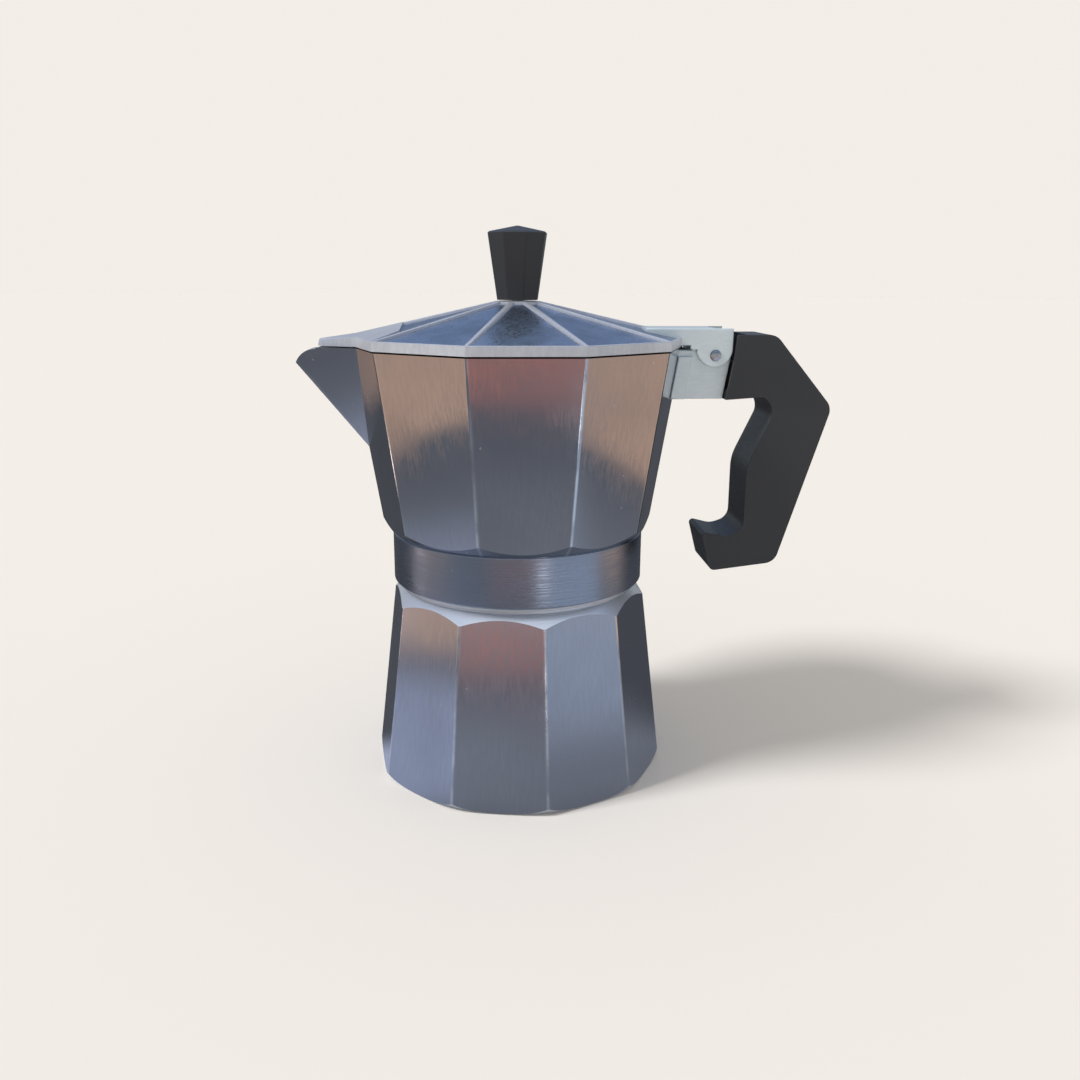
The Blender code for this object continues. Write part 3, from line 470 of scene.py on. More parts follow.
def ramp(tree: Tree, value: Socket, low: float, high: float, start: float = 0.0, end: float = 1.0) -> Socket:
    """A smooth step of a value from one number to another.

    Args:
        tree: the tree it goes in.
        value: what is mapped.
        low: the value that gives start.
        high: the value that gives end.
        start: result at and below low.
        end: result at and above high.

    Returns:
        The output socket.
    """
    inputs = {"Value": value, "From Min": low, "From Max": high, "To Min": start, "To Max": end}
    return add(tree, "MapRange", inputs, interpolation_type="SMOOTHSTEP").outputs["Result"]


def mixed(tree: Tree, share: Socket, first: Socket | Colour, second: Socket | Colour) -> Socket:
    """A colour between two colours."""
    node = add(tree, "Mix", data_type="RGBA")
    for index, value in ((0, share), (6, first), (7, second)):
        if isinstance(value, Socket):
            tree.links.new(value, node.inputs[index])
        else:
            node.inputs[index].default_value = (*value, 1.0)
    return node.outputs[2]


def new_group(
    name: str, inputs: dict[str, str], outputs: Sequence[str]
) -> tuple[Tree, bpy.types.Node, bpy.types.Node]:
    """Start a node group.

    Args:
        name: the group's name.
        inputs: socket name to Vector or Float.
        outputs: names of its Float outputs.

    Returns:
        The tree, its input node and its output node.
    """
    tree = bpy.data.node_groups.new(name, "ShaderNodeTree")
    for title, kind in inputs.items():
        tree.interface.new_socket(title, in_out="INPUT", socket_type=f"NodeSocket{kind}")
    for title in outputs:
        tree.interface.new_socket(title, in_out="OUTPUT", socket_type="NodeSocketFloat")
    return tree, tree.nodes.new("NodeGroupInput"), tree.nodes.new("NodeGroupOutput")


def grain_group() -> Tree:
    """Grain drawn out along one way, slow clouds and small nicks."""
    inputs = {"Vector": "Vector", "Stretch": "Vector", "Cloud Scale": "Float", "Nick Scale": "Float"}
    tree, given, out = new_group("surface_grain", inputs, ("Streak", "Cloud", "Nick"))
    place = given.outputs["Vector"]
    drawn = add(tree, "VectorMath", {0: place, 1: given.outputs["Stretch"]}, operation="MULTIPLY").outputs[0]
    streak = add(tree, "TexNoise", {"Vector": drawn, "Scale": 1.0, "Detail": 3.0, "Roughness": 0.65})
    cloud = add(tree, "TexNoise", {"Vector": place, "Scale": given.outputs["Cloud Scale"], "Detail": 2.0})
    cells = add(tree, "TexVoronoi", {"Vector": place, "Scale": given.outputs["Nick Scale"]})
    spot = ramp(tree, cells.outputs["Distance"], 0.05, 0.10, 1.0, 0.0)
    rare = add(tree, "SeparateColor", {"Color": cells.outputs["Color"]}).outputs[0]
    chosen = maths(tree, "GREATER_THAN", rare, 0.86)
    tree.links.new(streak.outputs["Fac"], out.inputs["Streak"])
    tree.links.new(cloud.outputs["Fac"], out.inputs["Cloud"])
    tree.links.new(maths(tree, "MULTIPLY", spot, chosen), out.inputs["Nick"])
    return tree


def corner_group() -> Tree:
    """Mask of the upright corners of a many-sided form, broken up in patches: wear and painted highlight
    along the corners.
    """
    inputs = {"Vector": "Vector", "Sides": "Float", "Turn": "Float", "Width": "Float"}
    tree, given, out = new_group("corner_wear_and_highlight", inputs, ("Mask",))
    parts = add(tree, "SeparateXYZ", {"Vector": given.outputs["Vector"]})
    x, y = parts.outputs["X"], parts.outputs["Y"]
    heading = maths(tree, "SUBTRACT", maths(tree, "ARCTAN2", y, x), given.outputs["Turn"])
    corners = maths(tree, "MULTIPLY", heading, maths(tree, "DIVIDE", given.outputs["Sides"], 2 * pi))
    away = maths(tree, "ABSOLUTE", maths(tree, "SUBTRACT", corners, maths(tree, "ROUND", corners)))
    squares = maths(tree, "ADD", maths(tree, "POWER", x, 2.0), maths(tree, "POWER", y, 2.0))
    radius = maths(tree, "SQRT", squares)
    angle = maths(tree, "DIVIDE", maths(tree, "MULTIPLY", away, 2 * pi), given.outputs["Sides"])
    distance = maths(tree, "MULTIPLY", angle, radius)
    near = maths(tree, "SUBTRACT", 1.0, maths(tree, "DIVIDE", distance, given.outputs["Width"]))
    patchy = add(tree, "TexNoise", {"Vector": given.outputs["Vector"], "Scale": 160.0, "Detail": 3.0})
    kept = ramp(tree, patchy.outputs["Fac"], 0.34, 0.60, 0.25, 1.0)
    clipped = maths(tree, "MAXIMUM", near, 0.0)
    tree.links.new(maths(tree, "MULTIPLY", clipped, kept), out.inputs["Mask"])
    return tree


@dataclass(frozen=True)
class Finish:
    """A surface and how it is made.

    Attributes:
        name: the material's name.
        colour: its main colour.
        shade: colour of its slow patches.
        roughness: how matt it is, from 0 to 1.
        metallic: 1 for metal.
        stretch: grain per metre along X, Y and Z.
        grain: height of the grain in metres.
        patches: how much of the shade the patches take.
        cloud_scale: patches per metre.
        nick_scale: cells per metre in which a nick may lie.
        nick: how much a nick shows.
        wear_and_highlight: colour of its rubbed corners, where it also stands for painted highlight, and of
            its nicks.
        corner_turn: angle of the first corner, or None for a form with no bright corner line.
        corner_width: width of the bright corner line, partly wear and partly painted highlight.
        rough_spread: how much the grain changes the roughness.
    """

    name: str
    colour: Colour
    shade: Colour
    roughness: float
    metallic: float = 1.0
    stretch: Triple = (900.0, 900.0, 900.0)
    grain: float = 0.000004
    patches: float = 0.5
    cloud_scale: float = 28.0
    nick_scale: float = 260.0
    nick: float = 0.5
    wear_and_highlight: Colour = (0.86, 0.88, 0.90)
    corner_turn: float | None = None
    corner_width: float = 0.0007
    rough_spread: float = 0.10

    def material(self, groups: dict[str, Tree]) -> bpy.types.Material:
        """Build the material.

        Args:
            groups: the shared node groups by name.

        Returns:
            The material.
        """
        made = bpy.data.materials.new(self.name)
        made.use_nodes = True
        tree = made.node_tree
        shader = tree.nodes["Principled BSDF"]
        place = add(tree, "TexCoord").outputs["Object"]
        grain = add(tree, "Group", node_tree=groups["grain"])
        tree.links.new(place, grain.inputs["Vector"])
        grain.inputs["Stretch"].default_value = self.stretch
        grain.inputs["Cloud Scale"].default_value = self.cloud_scale
        grain.inputs["Nick Scale"].default_value = self.nick_scale
        streak, cloud, nick = (grain.outputs[name] for name in ("Streak", "Cloud", "Nick"))

        share = ramp(tree, cloud, 0.35, 0.68, 0.0, self.patches)
        colour = mixed(tree, share, self.colour, self.shade)
        fine = ramp(tree, streak, 0.35, 0.65, 0.0, self.patches * 0.5)
        colour = mixed(tree, fine, colour, self.shade)
        if self.corner_turn is not None:
            corner = add(tree, "Group", node_tree=groups["corner"])
            tree.links.new(place, corner.inputs["Vector"])
            corner.inputs["Sides"].default_value = SIDES
            corner.inputs["Turn"].default_value = self.corner_turn
            corner.inputs["Width"].default_value = self.corner_width
            # Bright line along the upright corners: partly wear, partly painted highlight.
            colour = mixed(tree, corner.outputs["Mask"], colour, self.wear_and_highlight)
        marks = maths(tree, "MULTIPLY", nick, self.nick)
        colour = mixed(tree, marks, colour, self.wear_and_highlight)
        tree.links.new(colour, shader.inputs["Base Color"])

        low, high = self.roughness - self.rough_spread / 2, self.roughness + self.rough_spread / 2
        rough = ramp(tree, streak, 0.30, 0.70, low, high)
        rough = maths(tree, "ADD", rough, maths(tree, "MULTIPLY", marks, 0.25))
        smear = ramp(tree, cloud, 0.45, 0.75, 0.0, self.rough_spread)
        tree.links.new(maths(tree, "ADD", rough, smear), shader.inputs["Roughness"])
        shader.inputs["Metallic"].default_value = self.metallic

        height = maths(tree, "SUBTRACT", streak, maths(tree, "MULTIPLY", marks, 2.0))
        bump = add(tree, "Bump", {"Height": height, "Strength": 1.0, "Distance": self.grain})
        tree.links.new(bump.outputs["Normal"], shader.inputs["Normal"])
        return made


BOILER_TURN = radians(-9.8)
UPRIGHT = (1500.0, 1500.0, 45.0)
AROUND = (60.0, 60.0, 2600.0)

FINISHES = {
    "boiler_outside": Finish(
        "polished_boiler",
        (0.56, 0.58, 0.63),
        (0.44, 0.46, 0.52),
        0.17,
        stretch=UPRIGHT,
        corner_turn=BOILER_TURN,
    ),
    "body_outside": Finish(
        "polished_body",
        (0.55, 0.56, 0.58),
        (0.42, 0.43, 0.46),
        0.11,
        stretch=UPRIGHT,
        grain=0.000002,
        corner_turn=0.0,
    ),
    "ring": Finish(
        "turned_ring", (0.44, 0.49, 0.57), (0.25, 0.28, 0.34), 0.28, stretch=AROUND, grain=0.000008, nick=0.25
    ),
    "neck": Finish(
        "turned_neck", (0.80, 0.82, 0.86), (0.60, 0.62, 0.66), 0.34, 0.65, stretch=AROUND, grain=0.000006
    ),
    "inside": Finish(
        "cast_inside",
        (0.52, 0.52, 0.53),
        (0.36, 0.35, 0.34),
        0.48,
        stretch=(700.0, 700.0, 700.0),
        grain=0.00002,
    ),
    "lug": Finish(
        "satin_lug",
        (0.82, 0.90, 0.92),
        (0.66, 0.74, 0.76),
        0.42,
        0.45,
        stretch=(300.0, 1500.0, 1500.0),
        nick=0.3,
    ),
    "lid_rib": Finish(
        "worn_lid_rib",
        (0.76, 0.77, 0.82),
        (0.46, 0.48, 0.54),
        0.36,
        0.50,
        stretch=(900.0, 900.0, 220.0),
        grain=0.00001,
    ),
    "lid_panel": Finish(
        "cast_lid_panel",
        (0.52, 0.57, 0.66),
        (0.26, 0.30, 0.37),
        0.34,
        stretch=(1300.0, 1300.0, 1300.0),
        grain=0.00003,
        patches=0.9,
        cloud_scale=90.0,
        nick_scale=420.0,
        nick=0.6,
        rough_spread=0.2,
    ),
    "sheet": Finish("sheet_aluminium", (0.72, 0.73, 0.74), (0.58, 0.58, 0.60), 0.34, stretch=AROUND),
    "steel": Finish("steel", (0.62, 0.62, 0.62), (0.46, 0.46, 0.47), 0.28, stretch=(1200.0, 1200.0, 1200.0)),
    "brass": Finish("brass", (0.74, 0.55, 0.27), (0.52, 0.35, 0.15), 0.28, wear_and_highlight=(0.93, 0.80, 0.52)),
    "rubber": Finish(
        "white_rubber", (0.78, 0.76, 0.71), (0.66, 0.63, 0.57), 0.62, 0.0, grain=0.00001, nick=0.0
    ),
    "fibre": Finish(
        "fibre_washer", (0.30, 0.11, 0.07), (0.20, 0.07, 0.05), 0.80, 0.0, grain=0.00003, nick=0.0
    ),
    "plastic": Finish(
        "moulded_plastic",
        (0.030, 0.031, 0.034),
        (0.042, 0.043, 0.046),
        0.42,
        0.0,
        stretch=(1400.0, 1400.0, 1400.0),
        grain=0.000012,
        nick=0.06,
        nick_scale=180.0,
        wear_and_highlight=(0.16, 0.17, 0.19),
    ),
}


# ---------------------------------------------------------------- the pot


@dataclass(frozen=True)
class Thread:
    """The screw thread between the boiler's neck and the collector's ring."""

    root_r: float = 0.0323
    depth: float = 0.0010
    pitch: float = 0.0030
    turns: float = 1.7
    root_width: float = 0.0014
    crest_width: float = 0.0007
    sink: float = 0.0004
    phase: float = 0.05

    def ridge(self, start: float, more_turns: float, grow: float, zone: Zone) -> Form:
        """The thread's ridge.

        Args:
            start: height of its start.
            more_turns: turns beyond its own.
            grow: how much thicker it is all round.
            zone: finish of its faces.

        Returns:
            The closed form.
        """
        inner, outer = self.root_r - self.sink, self.root_r + self.depth + grow
        root, crest = self.root_width / 2 + grow, self.crest_width / 2 + grow
        section = [(inner, start - root), (outer, start - crest)]
        section += [(outer, start + crest), (inner, start + root)]
        return helix(section, self.pitch, self.turns + more_turns, self.phase, zone)


@dataclass(frozen=True)
class Heights:
    """Heights and places that several pieces share, read from the frame."""

    boiler_top: float
    ring_bottom: float
    pin: Vector

    @classmethod
    def read(cls, joints: list[dict]) -> "Heights":
        """Read them from the nodes' boxes and the joints.

        Args:
            joints: the frame's joints.

        Returns:
            The heights.
        """
        hinge = next(joint for joint in joints if joint["name"] == "lid_hinge")
        return cls(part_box("boiler")[1].z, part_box("collector")[0].z, Vector(hinge["pos_m"]))


@dataclass
class Boiler:
    """Ten-sided vessel for the water, with a turned shoulder and a threaded neck."""

    heights: Heights
    finishes: list[bpy.types.Material]
    base_r: float = 0.0446
    shoulder_r: float = 0.0382
    shoulder_z: float = 0.0531
    wall: float = 0.0028
    floor: float = 0.0030
    foot: float = 0.0040
    bead_r: float = 0.0349
    bead_height: float = 0.0011
    groove: float = 0.0006
    groove_height: float = 0.0008
    neck_wall: float = 0.0030
    thread_start: float = 0.0016
    corner: float = 0.0005
    valve_hole_r: float = 0.0042
    foot_groove: float = 0.0004
    cavity_corner: float = 0.0020
    thread: Thread = Thread()

    def radius(self, z: float) -> float:
        """Corner radius of the outside at a height."""
        return self.base_r - (self.base_r - self.shoulder_r) * z / self.shoulder_z

    def build(self, valve_axis: tuple[Vector, Vector]) -> bpy.types.Object:
        """Model and dress the boiler.

        Args:
            valve_axis: a point inside and a point outside on the valve's axis.

        Returns:
            The finished object.
        """
        top = self.heights.boiler_top
        step_z = self.shoulder_z + self.shoulder_r - self.bead_r
        piece = Piece("boiler_body_shell", self.finishes)
        levels = [(self.radius(-OVER), -OVER), (self.radius(step_z + OVER), step_z + OVER)]
        piece.start(prism(levels, turn=BOILER_TURN, corner=self.corner))
        piece.shape(lathe(self.envelope(step_z), Zone.DETAIL), Operation.KEEP)
        piece.shape(lathe(self.neck(step_z, top), Zone.DETAIL), Operation.JOIN)
        start = step_z + self.groove_height + self.bead_height + self.thread_start
        piece.shape(self.thread.ridge(start, 0.0, 0.0, Zone.DETAIL), Operation.JOIN)
        piece.shape(lathe(self.cavity(top), Zone.INSIDE), Operation.CUT)
        piece.shape(rod(self.valve_hole_r, *map(tuple, valve_axis), Zone.DETAIL), Operation.CUT)
        return piece.done("boiler_body", "polished_aluminium", "boiler")

    def envelope(self, step_z: float) -> Outline:
        """Turned form that the ten sides are cut back to: base, foot and shoulder."""
        wide = self.base_r + OVER
        bore = self.base_r / 2
        points = [(0.0, self.foot_groove), (bore, self.foot_groove), (bore + self.foot_groove, 0.0)]
        points += arc((self.base_r - self.foot, self.foot), self.foot, -90, 0, 2 * ARC_STEPS)
        points += [(wide, self.foot + OVER), (wide, self.shoulder_z - (wide - self.shoulder_r))]
        return points + [(self.bead_r, step_z), (0.0, step_z)]

    def neck(self, step_z: float, top: float) -> Outline:
        """Profile of the groove, the bead and the neck above the shoulder."""
        inner = self.bead_r - self.groove
        low = step_z + self.groove_height
        half = self.bead_height / 2
        points = [(0.0, self.shoulder_z), (inner, self.shoulder_z), (inner, low)]
        points += arc((self.bead_r - half, low + half), half, -90, 90)
        root = self.thread.root_r
        return points + [(root, low + self.bead_height), (root, top - GAP), (root - GAP, top), (0.0, top)]

    def cavity(self, top: float) -> Outline:
        """Profile of the hollow inside."""
        throat = self.shoulder_z - self.wall
        low_r = self.radius(self.floor) * cos(HALF_SIDE) - self.wall
        high_r = self.radius(throat) * cos(HALF_SIDE) - self.wall
        bore = self.thread.root_r - self.neck_wall
        corner = self.cavity_corner
        points = [(0.0, self.floor)] + arc((low_r - corner, self.floor + corner), corner, -90, 0)
        points += [(high_r, throat), (bore, throat + high_r - bore)]
        return points + [(bore, top + OVER), (0.0, top + OVER)]


@dataclass
class Collector:
    """Ten-sided upper vessel with its threaded ring, its V spout and the lug of the handle."""

    heights: Heights
    finishes: list[bpy.types.Material]
    ring_r: float = 0.0372
    ring_height: float = 0.0144
    ring_edge: float = 0.0004
    top_r: float = 0.0483
    foot_r: float = 0.0397
    height: float = 0.0533
    wall: float = 0.0022
    ceiling: float = 0.0117
    web: float = 0.0021
    floor_r: float = 0.0330
    inset: float = 0.0003
    corner: float = 0.0005
    room_corner: float = 0.0010
    spigot_r: float = 0.0043
    spout_reach: float = 0.0152
    tip_drop: float = 0.0045
    spout_height: float = 0.0287
    spout_half: float = 0.0075
    spout_wall: float = 0.0015
    keel_half: float = 0.0004
    lip_r: float = 0.0071
    lip_start: float = 155.0
    lip_end: float = 92.0
    shelf: float = 0.0072
    spout_root: float = 0.0077
    lug_half: float = 0.0062
    slot_half: float = 0.0034
    lug_height: float = 0.0125
    nose_r: float = 0.0050
    lug_floor: float = 0.0014
    lug_edge: float = 0.0004
    pad_half: float = 0.0074
    pad_depth: float = 0.0019
    slant: float = 0.0021
    lid_r: float = 0.0488
    pin_r: float = 0.0013
    thread: Thread = Thread()

    def __post_init__(self) -> None:
        """Work out the heights from the ring up."""
        self.bottom = self.heights.ring_bottom
        self.ring_top = self.bottom + self.ring_height
        self.top = self.ring_top + self.height
        self.roof = self.bottom + self.ceiling
        self.floor = self.roof + self.web
        self.taper = (self.top_r - self.foot_r) / self.height

    def radius(self, z: float) -> float:
        """Corner radius of the outside at a height."""
        return self.top_r - self.taper * (self.top - z)

    def build(self) -> bpy.types.Object:
        """Model and dress the collector."""
        piece = Piece("collector_vessel", self.finishes)
        levels = [(self.radius(z), z) for z in (self.floor - OVER, self.top + OVER)]
        piece.start(prism(levels, corner=self.corner))
        piece.shape(lathe(self.envelope()), Operation.KEEP)
        piece.shape(lathe(self.band(), Zone.DETAIL), Operation.JOIN)
        piece.shape(self.spout(), Operation.JOIN)
        wide = 2 * self.top_r
        piece.shape(block((-wide, -wide, self.top), (wide, wide, self.top + 5 * OVER)), Operation.CUT)
        piece.shape(self.lug(), Operation.JOIN)
        piece.shape(self.pad(), Operation.JOIN)
        self.hollow(piece)
        self.drill(piece)
        return piece.done("collector_body", "polished_aluminium", "collector")

    def envelope(self) -> Outline:
        """Turned form that undercuts the ten sides above the ring."""
        inner = self.ring_r - self.inset
        wide = self.top_r + OVER
        above = self.top + 2 * OVER
        points = [(0.0, self.floor - OVER), (inner, self.floor - OVER), (inner, self.ring_top)]
        return points + [(wide, self.ring_top + wide - inner), (wide, above), (0.0, above)]

    def band(self) -> Outline:
        """Profile of the ring, with rounded edges."""
        edge, outer = self.ring_edge, self.ring_r
        points = [(0.0, self.bottom)] + arc((outer - edge, self.bottom + edge), edge, -90, 0, 3)
        points += arc((outer - edge, self.ring_top - edge), edge, 0, 90, 3)
        return points + [(0.0, self.ring_top)]

    def wedge(self, wall: float, zone: Zone) -> Form:
        """The spout's V as a wedge that narrows down to the body.

        Args:
            wall: how far it lies inside the outer faces.
            zone: finish of its faces.

        Returns:
            The closed form.
        """
        apothem = self.top_r * cos(HALF_SIDE)
        half_angle = atan(self.spout_half / (self.top_r + self.spout_reach - apothem))
        slope = (self.spout_reach + self.taper * self.spout_height) / (self.spout_height - self.tip_drop)
        top = self.top + 2 * OVER
        keel = self.top_r + self.spout_reach + slope * (self.tip_drop + 2 * OVER) - wall / sin(half_angle)
        root = self.top_r - self.spout_root
        half = (keel - root) * tan(half_angle)
        low = top - (keel - root) / slope
        points = [(-keel, 0, top)]
        for side in (-1, 1):
            points += [(-root, side * half, top), (-root, side * self.keel_half, low)]
        return wrapped(points, zone)

    def spout(self) -> Form:
        """The spout's outside with its lip curved down to the tip."""
        tip_x, tip_z = -self.top_r - self.spout_reach, self.top - self.tip_drop
        start = radians(self.lip_start)
        centre = (tip_x - self.lip_r * cos(start), tip_z - self.lip_r * sin(start))
        above = self.top + OVER
        lip = arc(centre, self.lip_r, self.lip_start, self.lip_end, 2 * ARC_STEPS)
        outline = [(0.0, 0.0), (tip_x, 0.0), *lip]
        outline += [(tip_x + self.shelf, self.top), (tip_x + self.shelf, above), (0.0, above)]
        made = Piece("spout_form", self.finishes).start(self.wedge(0.0, Zone.OUTSIDE))
        return made.shape(plate(outline, self.top_r, Zone.TRIM), Operation.KEEP).form()

    def lug(self) -> Form:
        """The lug that carries the hinge pin and the handle's tenon."""
        x, z = self.heights.pin.x, self.heights.pin.z
        low, back = z - self.lug_height, x + self.nose_r
        root = self.radius(low) - self.wall
        front = self.lid_r + 3 * GAP
        shelf = self.top - 2 * GAP
        outline = [(root, low), (back - self.slant, low)] + arc((x, z), self.nose_r, 0, 90)
        outline += [(front, z + self.nose_r - OVER), (front, shelf), (root, shelf)]
        return plate(outline, self.lug_half, Zone.TRIM, self.lug_edge)

    def pad(self) -> Form:
        """The pad that spreads the lug on the vessel's corner."""
        low, high = self.heights.pin.z - self.lug_height, self.heights.pin.z - GAP
        outline = [
            (self.radius(low) - self.wall, low),
            (self.radius(low) + self.pad_depth, low),
            (self.radius(high) + self.pad_depth, high),
            (self.radius(high) - self.wall, high),
        ]
        return plate(outline, self.pad_half, Zone.TRIM, self.lug_edge)

    def hollow(self, piece: Piece) -> None:
        """Cut the vessel's room and the channel of the spout."""
        skew = self.wall / cos(HALF_SIDE)
        levels = [(self.radius(z) - skew, z) for z in (self.floor, self.top + OVER)]
        wide = self.top_r + OVER
        above = self.top + 2 * OVER
        flare = [(0.0, self.floor), (self.floor_r, self.floor)]
        flare += [(wide, self.floor + wide - self.floor_r), (wide, above), (0.0, above)]
        room = Piece("room_form", self.finishes)
        room.start(prism(levels, corner=self.room_corner, zone=Zone.INSIDE))
        piece.shape(room.shape(lathe(flare, Zone.INSIDE), Operation.KEEP).form(), Operation.CUT)
        piece.shape(self.wedge(self.spout_wall, Zone.INSIDE), Operation.CUT)

    def drill(self, piece: Piece) -> None:
        """Cut the column's seat, the tenon's slot, the pin's hole and the threaded recess."""
        x, z = self.heights.pin.x, self.heights.pin.z
        low, high = (0, 0, self.roof - OVER), (0, 0, self.floor + OVER)
        piece.shape(rod(self.spigot_r + GAP, low, high, Zone.INSIDE), Operation.CUT)
        slot_x = self.radius(z) + self.pad_depth
        low = z - self.lug_height + self.lug_floor
        far = 2 * self.nose_r
        slot = block((slot_x, -self.slot_half, low), (x + far, self.slot_half, z + far), Zone.TRIM)
        piece.shape(slot, Operation.CUT)
        reach = self.pad_half + OVER
        piece.shape(rod(self.pin_r + GAP, (x, -reach, z), (x, reach, z), Zone.TRIM), Operation.CUT)
        bore = self.thread.root_r + GAP
        below = self.bottom - 4 * OVER
        recess = [(0.0, below), (bore, below), (bore, self.roof), (0.0, self.roof)]
        piece.shape(lathe(recess, Zone.INSIDE), Operation.CUT)
        piece.shape(self.thread.ridge(self.bottom - 2 * OVER, 1.6, GAP, Zone.INSIDE), Operation.CUT)


@dataclass
class Lid:
    """Ten-sided lid: ribs between sunk panels, a plain cover over the spout and the hinge's channel."""

    heights: Heights
    finishes: list[bpy.types.Material]
    gap: float = 0.0026
    radius: float = 0.0488
    skirt: float = 0.0026
    rise: float = 0.0097
    flat_r: float = 0.0063
    wall: float = 0.0016
    rib: float = 0.0009
    panel_depth: float = 0.0007
    panel_slope: float = 0.00025
    rim_edge: float = 0.00018
    cover_length: float = 0.0161
    cover_end_half: float = 0.0195
    cover_depth: float = 0.0012
    cover_reach: float = 0.0082
    tip_half: float = 0.0026
    tip_height: float = 0.0020
    tip_edge: float = 0.0004
    tip_root: float = 0.0030
    tip_ridge: float = 0.0040
    seat: float = 0.0001
    spout_half: float = 0.0075
    ear_r: float = 0.0052
    ear_rise: float = 0.0019
    channel_half: float = 0.0077
    channel_wall: float = 0.0012
    channel_edge: float = 0.00035
    channel_top: float = 0.0014
    channel_rise: float = 0.0076
    channel_foot: float = 0.0017
    rear: float = 0.0050
    channel_run: float = 0.0128
    pin_r: float = 0.0013
    screw_r: float = 0.0019

    def __post_init__(self) -> None:
        """Work out the heights from the hinge pin."""
        self.low = self.heights.pin.z + self.gap
        self.rim = self.low + self.skirt
        self.top = self.rim + self.rise

    def height(self, radius: float) -> float:
        """Height of the ribs at a corner radius."""
        return self.rim + self.rise * (self.radius - radius) / (self.radius - self.flat_r)

    def build(self) -> bpy.types.Object:
        """Model and dress the lid."""
        piece = Piece("lid_cover", self.finishes).start(self.shell())
        piece.shape(self.cover(), Operation.JOIN)
        piece.shape(self.tip(), Operation.JOIN)
        piece.shape(self.channel(), Operation.JOIN)
        levels = [
            (self.radius - self.wall, self.low - OVER),
            (self.radius - self.wall, self.low + OVER),
            (self.flat_r, self.top - self.panel_depth - self.wall),
        ]
        piece.shape(prism(levels, zone=Zone.INSIDE), Operation.CUT)
        self.open_channel(piece)
        hole = rod(self.screw_r + GAP, (0, 0, self.low), (0, 0, self.top + OVER), Zone.INSIDE)
        piece.shape(hole, Operation.CUT)
        return piece.done("lid_body", "cast_aluminium", "lid")

    def shell(self) -> Form:
        """The pyramid with a sunk panel between each pair of ribs."""
        bm = prism([(self.radius, self.low), (self.radius, self.rim), (self.flat_r, self.top)])
        bm.faces.ensure_lookup_table()
        panels = [face for face in bm.faces if 0.5 < face.normal.z < 0.999]
        bmesh.ops.inset_individual(bm, faces=panels, thickness=self.rib, depth=0.0)
        bmesh.ops.inset_individual(bm, faces=panels, thickness=self.panel_slope, depth=-self.panel_depth)
        for face in panels:
            face.material_index = int(Zone.DETAIL)
        sunk = {vert for face in panels for vert in face.verts}
        upper = [edge for edge in bm.edges if min(vert.co.z for vert in edge.verts) > self.low + MERGE]
        outer = [edge for edge in upper if not sunk.intersection(edge.verts)]
        rims = [edge for edge in outer if edge.calc_face_angle(0.0) > SHARP_ANGLE]
        round_edges(bm, rims, self.rim_edge, 2)
        bmesh.ops.recalc_face_normals(bm, faces=bm.faces)
        return bm

    def cover(self) -> Form:
        """Fill that brings the two panels above the spout up to the ribs."""
        inner = self.radius - 2 * self.seat
        end_x = self.radius - self.cover_length
        slope = self.rise / ((self.radius - self.flat_r) * cos(HALF_SIDE))
        reach = self.radius * cos(HALF_SIDE)

        def level(x: float, y: float) -> float:
            """Height of the panel's plane over a point."""
            return self.rim + self.seat + slope * (reach - (-x * cos(HALF_SIDE) + abs(y) * sin(HALF_SIDE)))

        places = [(-end_x, 0.0), (-inner, 0.0)]
        for side in (-1, 1):
            places += [(-end_x, side * self.cover_end_half)]
            places += [(-inner * cos(2 * HALF_SIDE), side * inner * sin(2 * HALF_SIDE))]
        points = [(x, y, level(x, y) - drop) for x, y in places for drop in (0.0, self.cover_depth)]
        return wrapped(points)

    def tip(self) -> Form:
        """The part that reaches out over the spout and ends in a blunt round tip."""
        root = -self.radius * cos(HALF_SIDE) + GAP
        half = self.spout_half + GAP
        tip_x = -self.radius - self.cover_reach
        low = self.low - 2 * self.seat
        rim, top = self.rim - self.seat, low + self.tip_height
        back, ridge = root + self.tip_root, self.radius - self.tip_ridge
        points = [(-ridge, 0.0, self.height(ridge))]
        for side in (-1, 1):
            points += [(root, side * half, z) for z in (low, rim)]
            points += [(back, side * half / 2, z) for z in (low, rim)]
            for x, y in arc((tip_x + self.tip_half, 0.0), self.tip_half, 180, 90)[side > 0 :]:
                across = side * max(y, 0.0)
                points.append((x, across, low))
                points.append((x + self.tip_edge, across * 0.9, top - self.tip_edge))
                points.append((x + 2 * self.tip_edge, across * 0.8, top))
        return wrapped(points)

    def channel(self) -> Form:
        """The channel over the hinge, with its two round ears."""
        x, z = self.heights.pin.x, self.heights.pin.z
        top, rear = z + self.channel_rise, x + self.rear
        front = self.radius - self.channel_run
        bridge = self.radius + GAP
        sunk = self.low + 2 * self.seat
        outline = [(front, top), (front, sunk), (bridge, sunk), (bridge, z + self.channel_foot)]
        outline += arc((rear - self.ear_r, z + self.ear_rise), self.ear_r, -177, 0, 24)
        outline.append((rear, top))
        return plate(outline, self.channel_half, Zone.TRIM, self.channel_edge)

    def open_channel(self, piece: Piece) -> None:
        """Hollow the channel and drill it for the pin."""
        x, z = self.heights.pin.x, self.heights.pin.z
        inside = self.channel_half - self.channel_wall
        rear, top = x + self.rear, z + self.channel_rise
        low = z + self.ear_rise - self.ear_r - OVER
        start = self.radius + GAP / 2
        hollow = block((start, -inside, low), (rear + OVER, inside, top - self.channel_top), Zone.TRIM)
        piece.shape(hollow, Operation.CUT)
        piece.shape(block((x, -inside, low), (rear + OVER, inside, top + OVER), Zone.TRIM), Operation.CUT)
        reach = self.channel_half + OVER
        piece.shape(rod(self.pin_r + GAP, (x, -reach, z), (x, reach, z), Zone.TRIM), Operation.CUT)


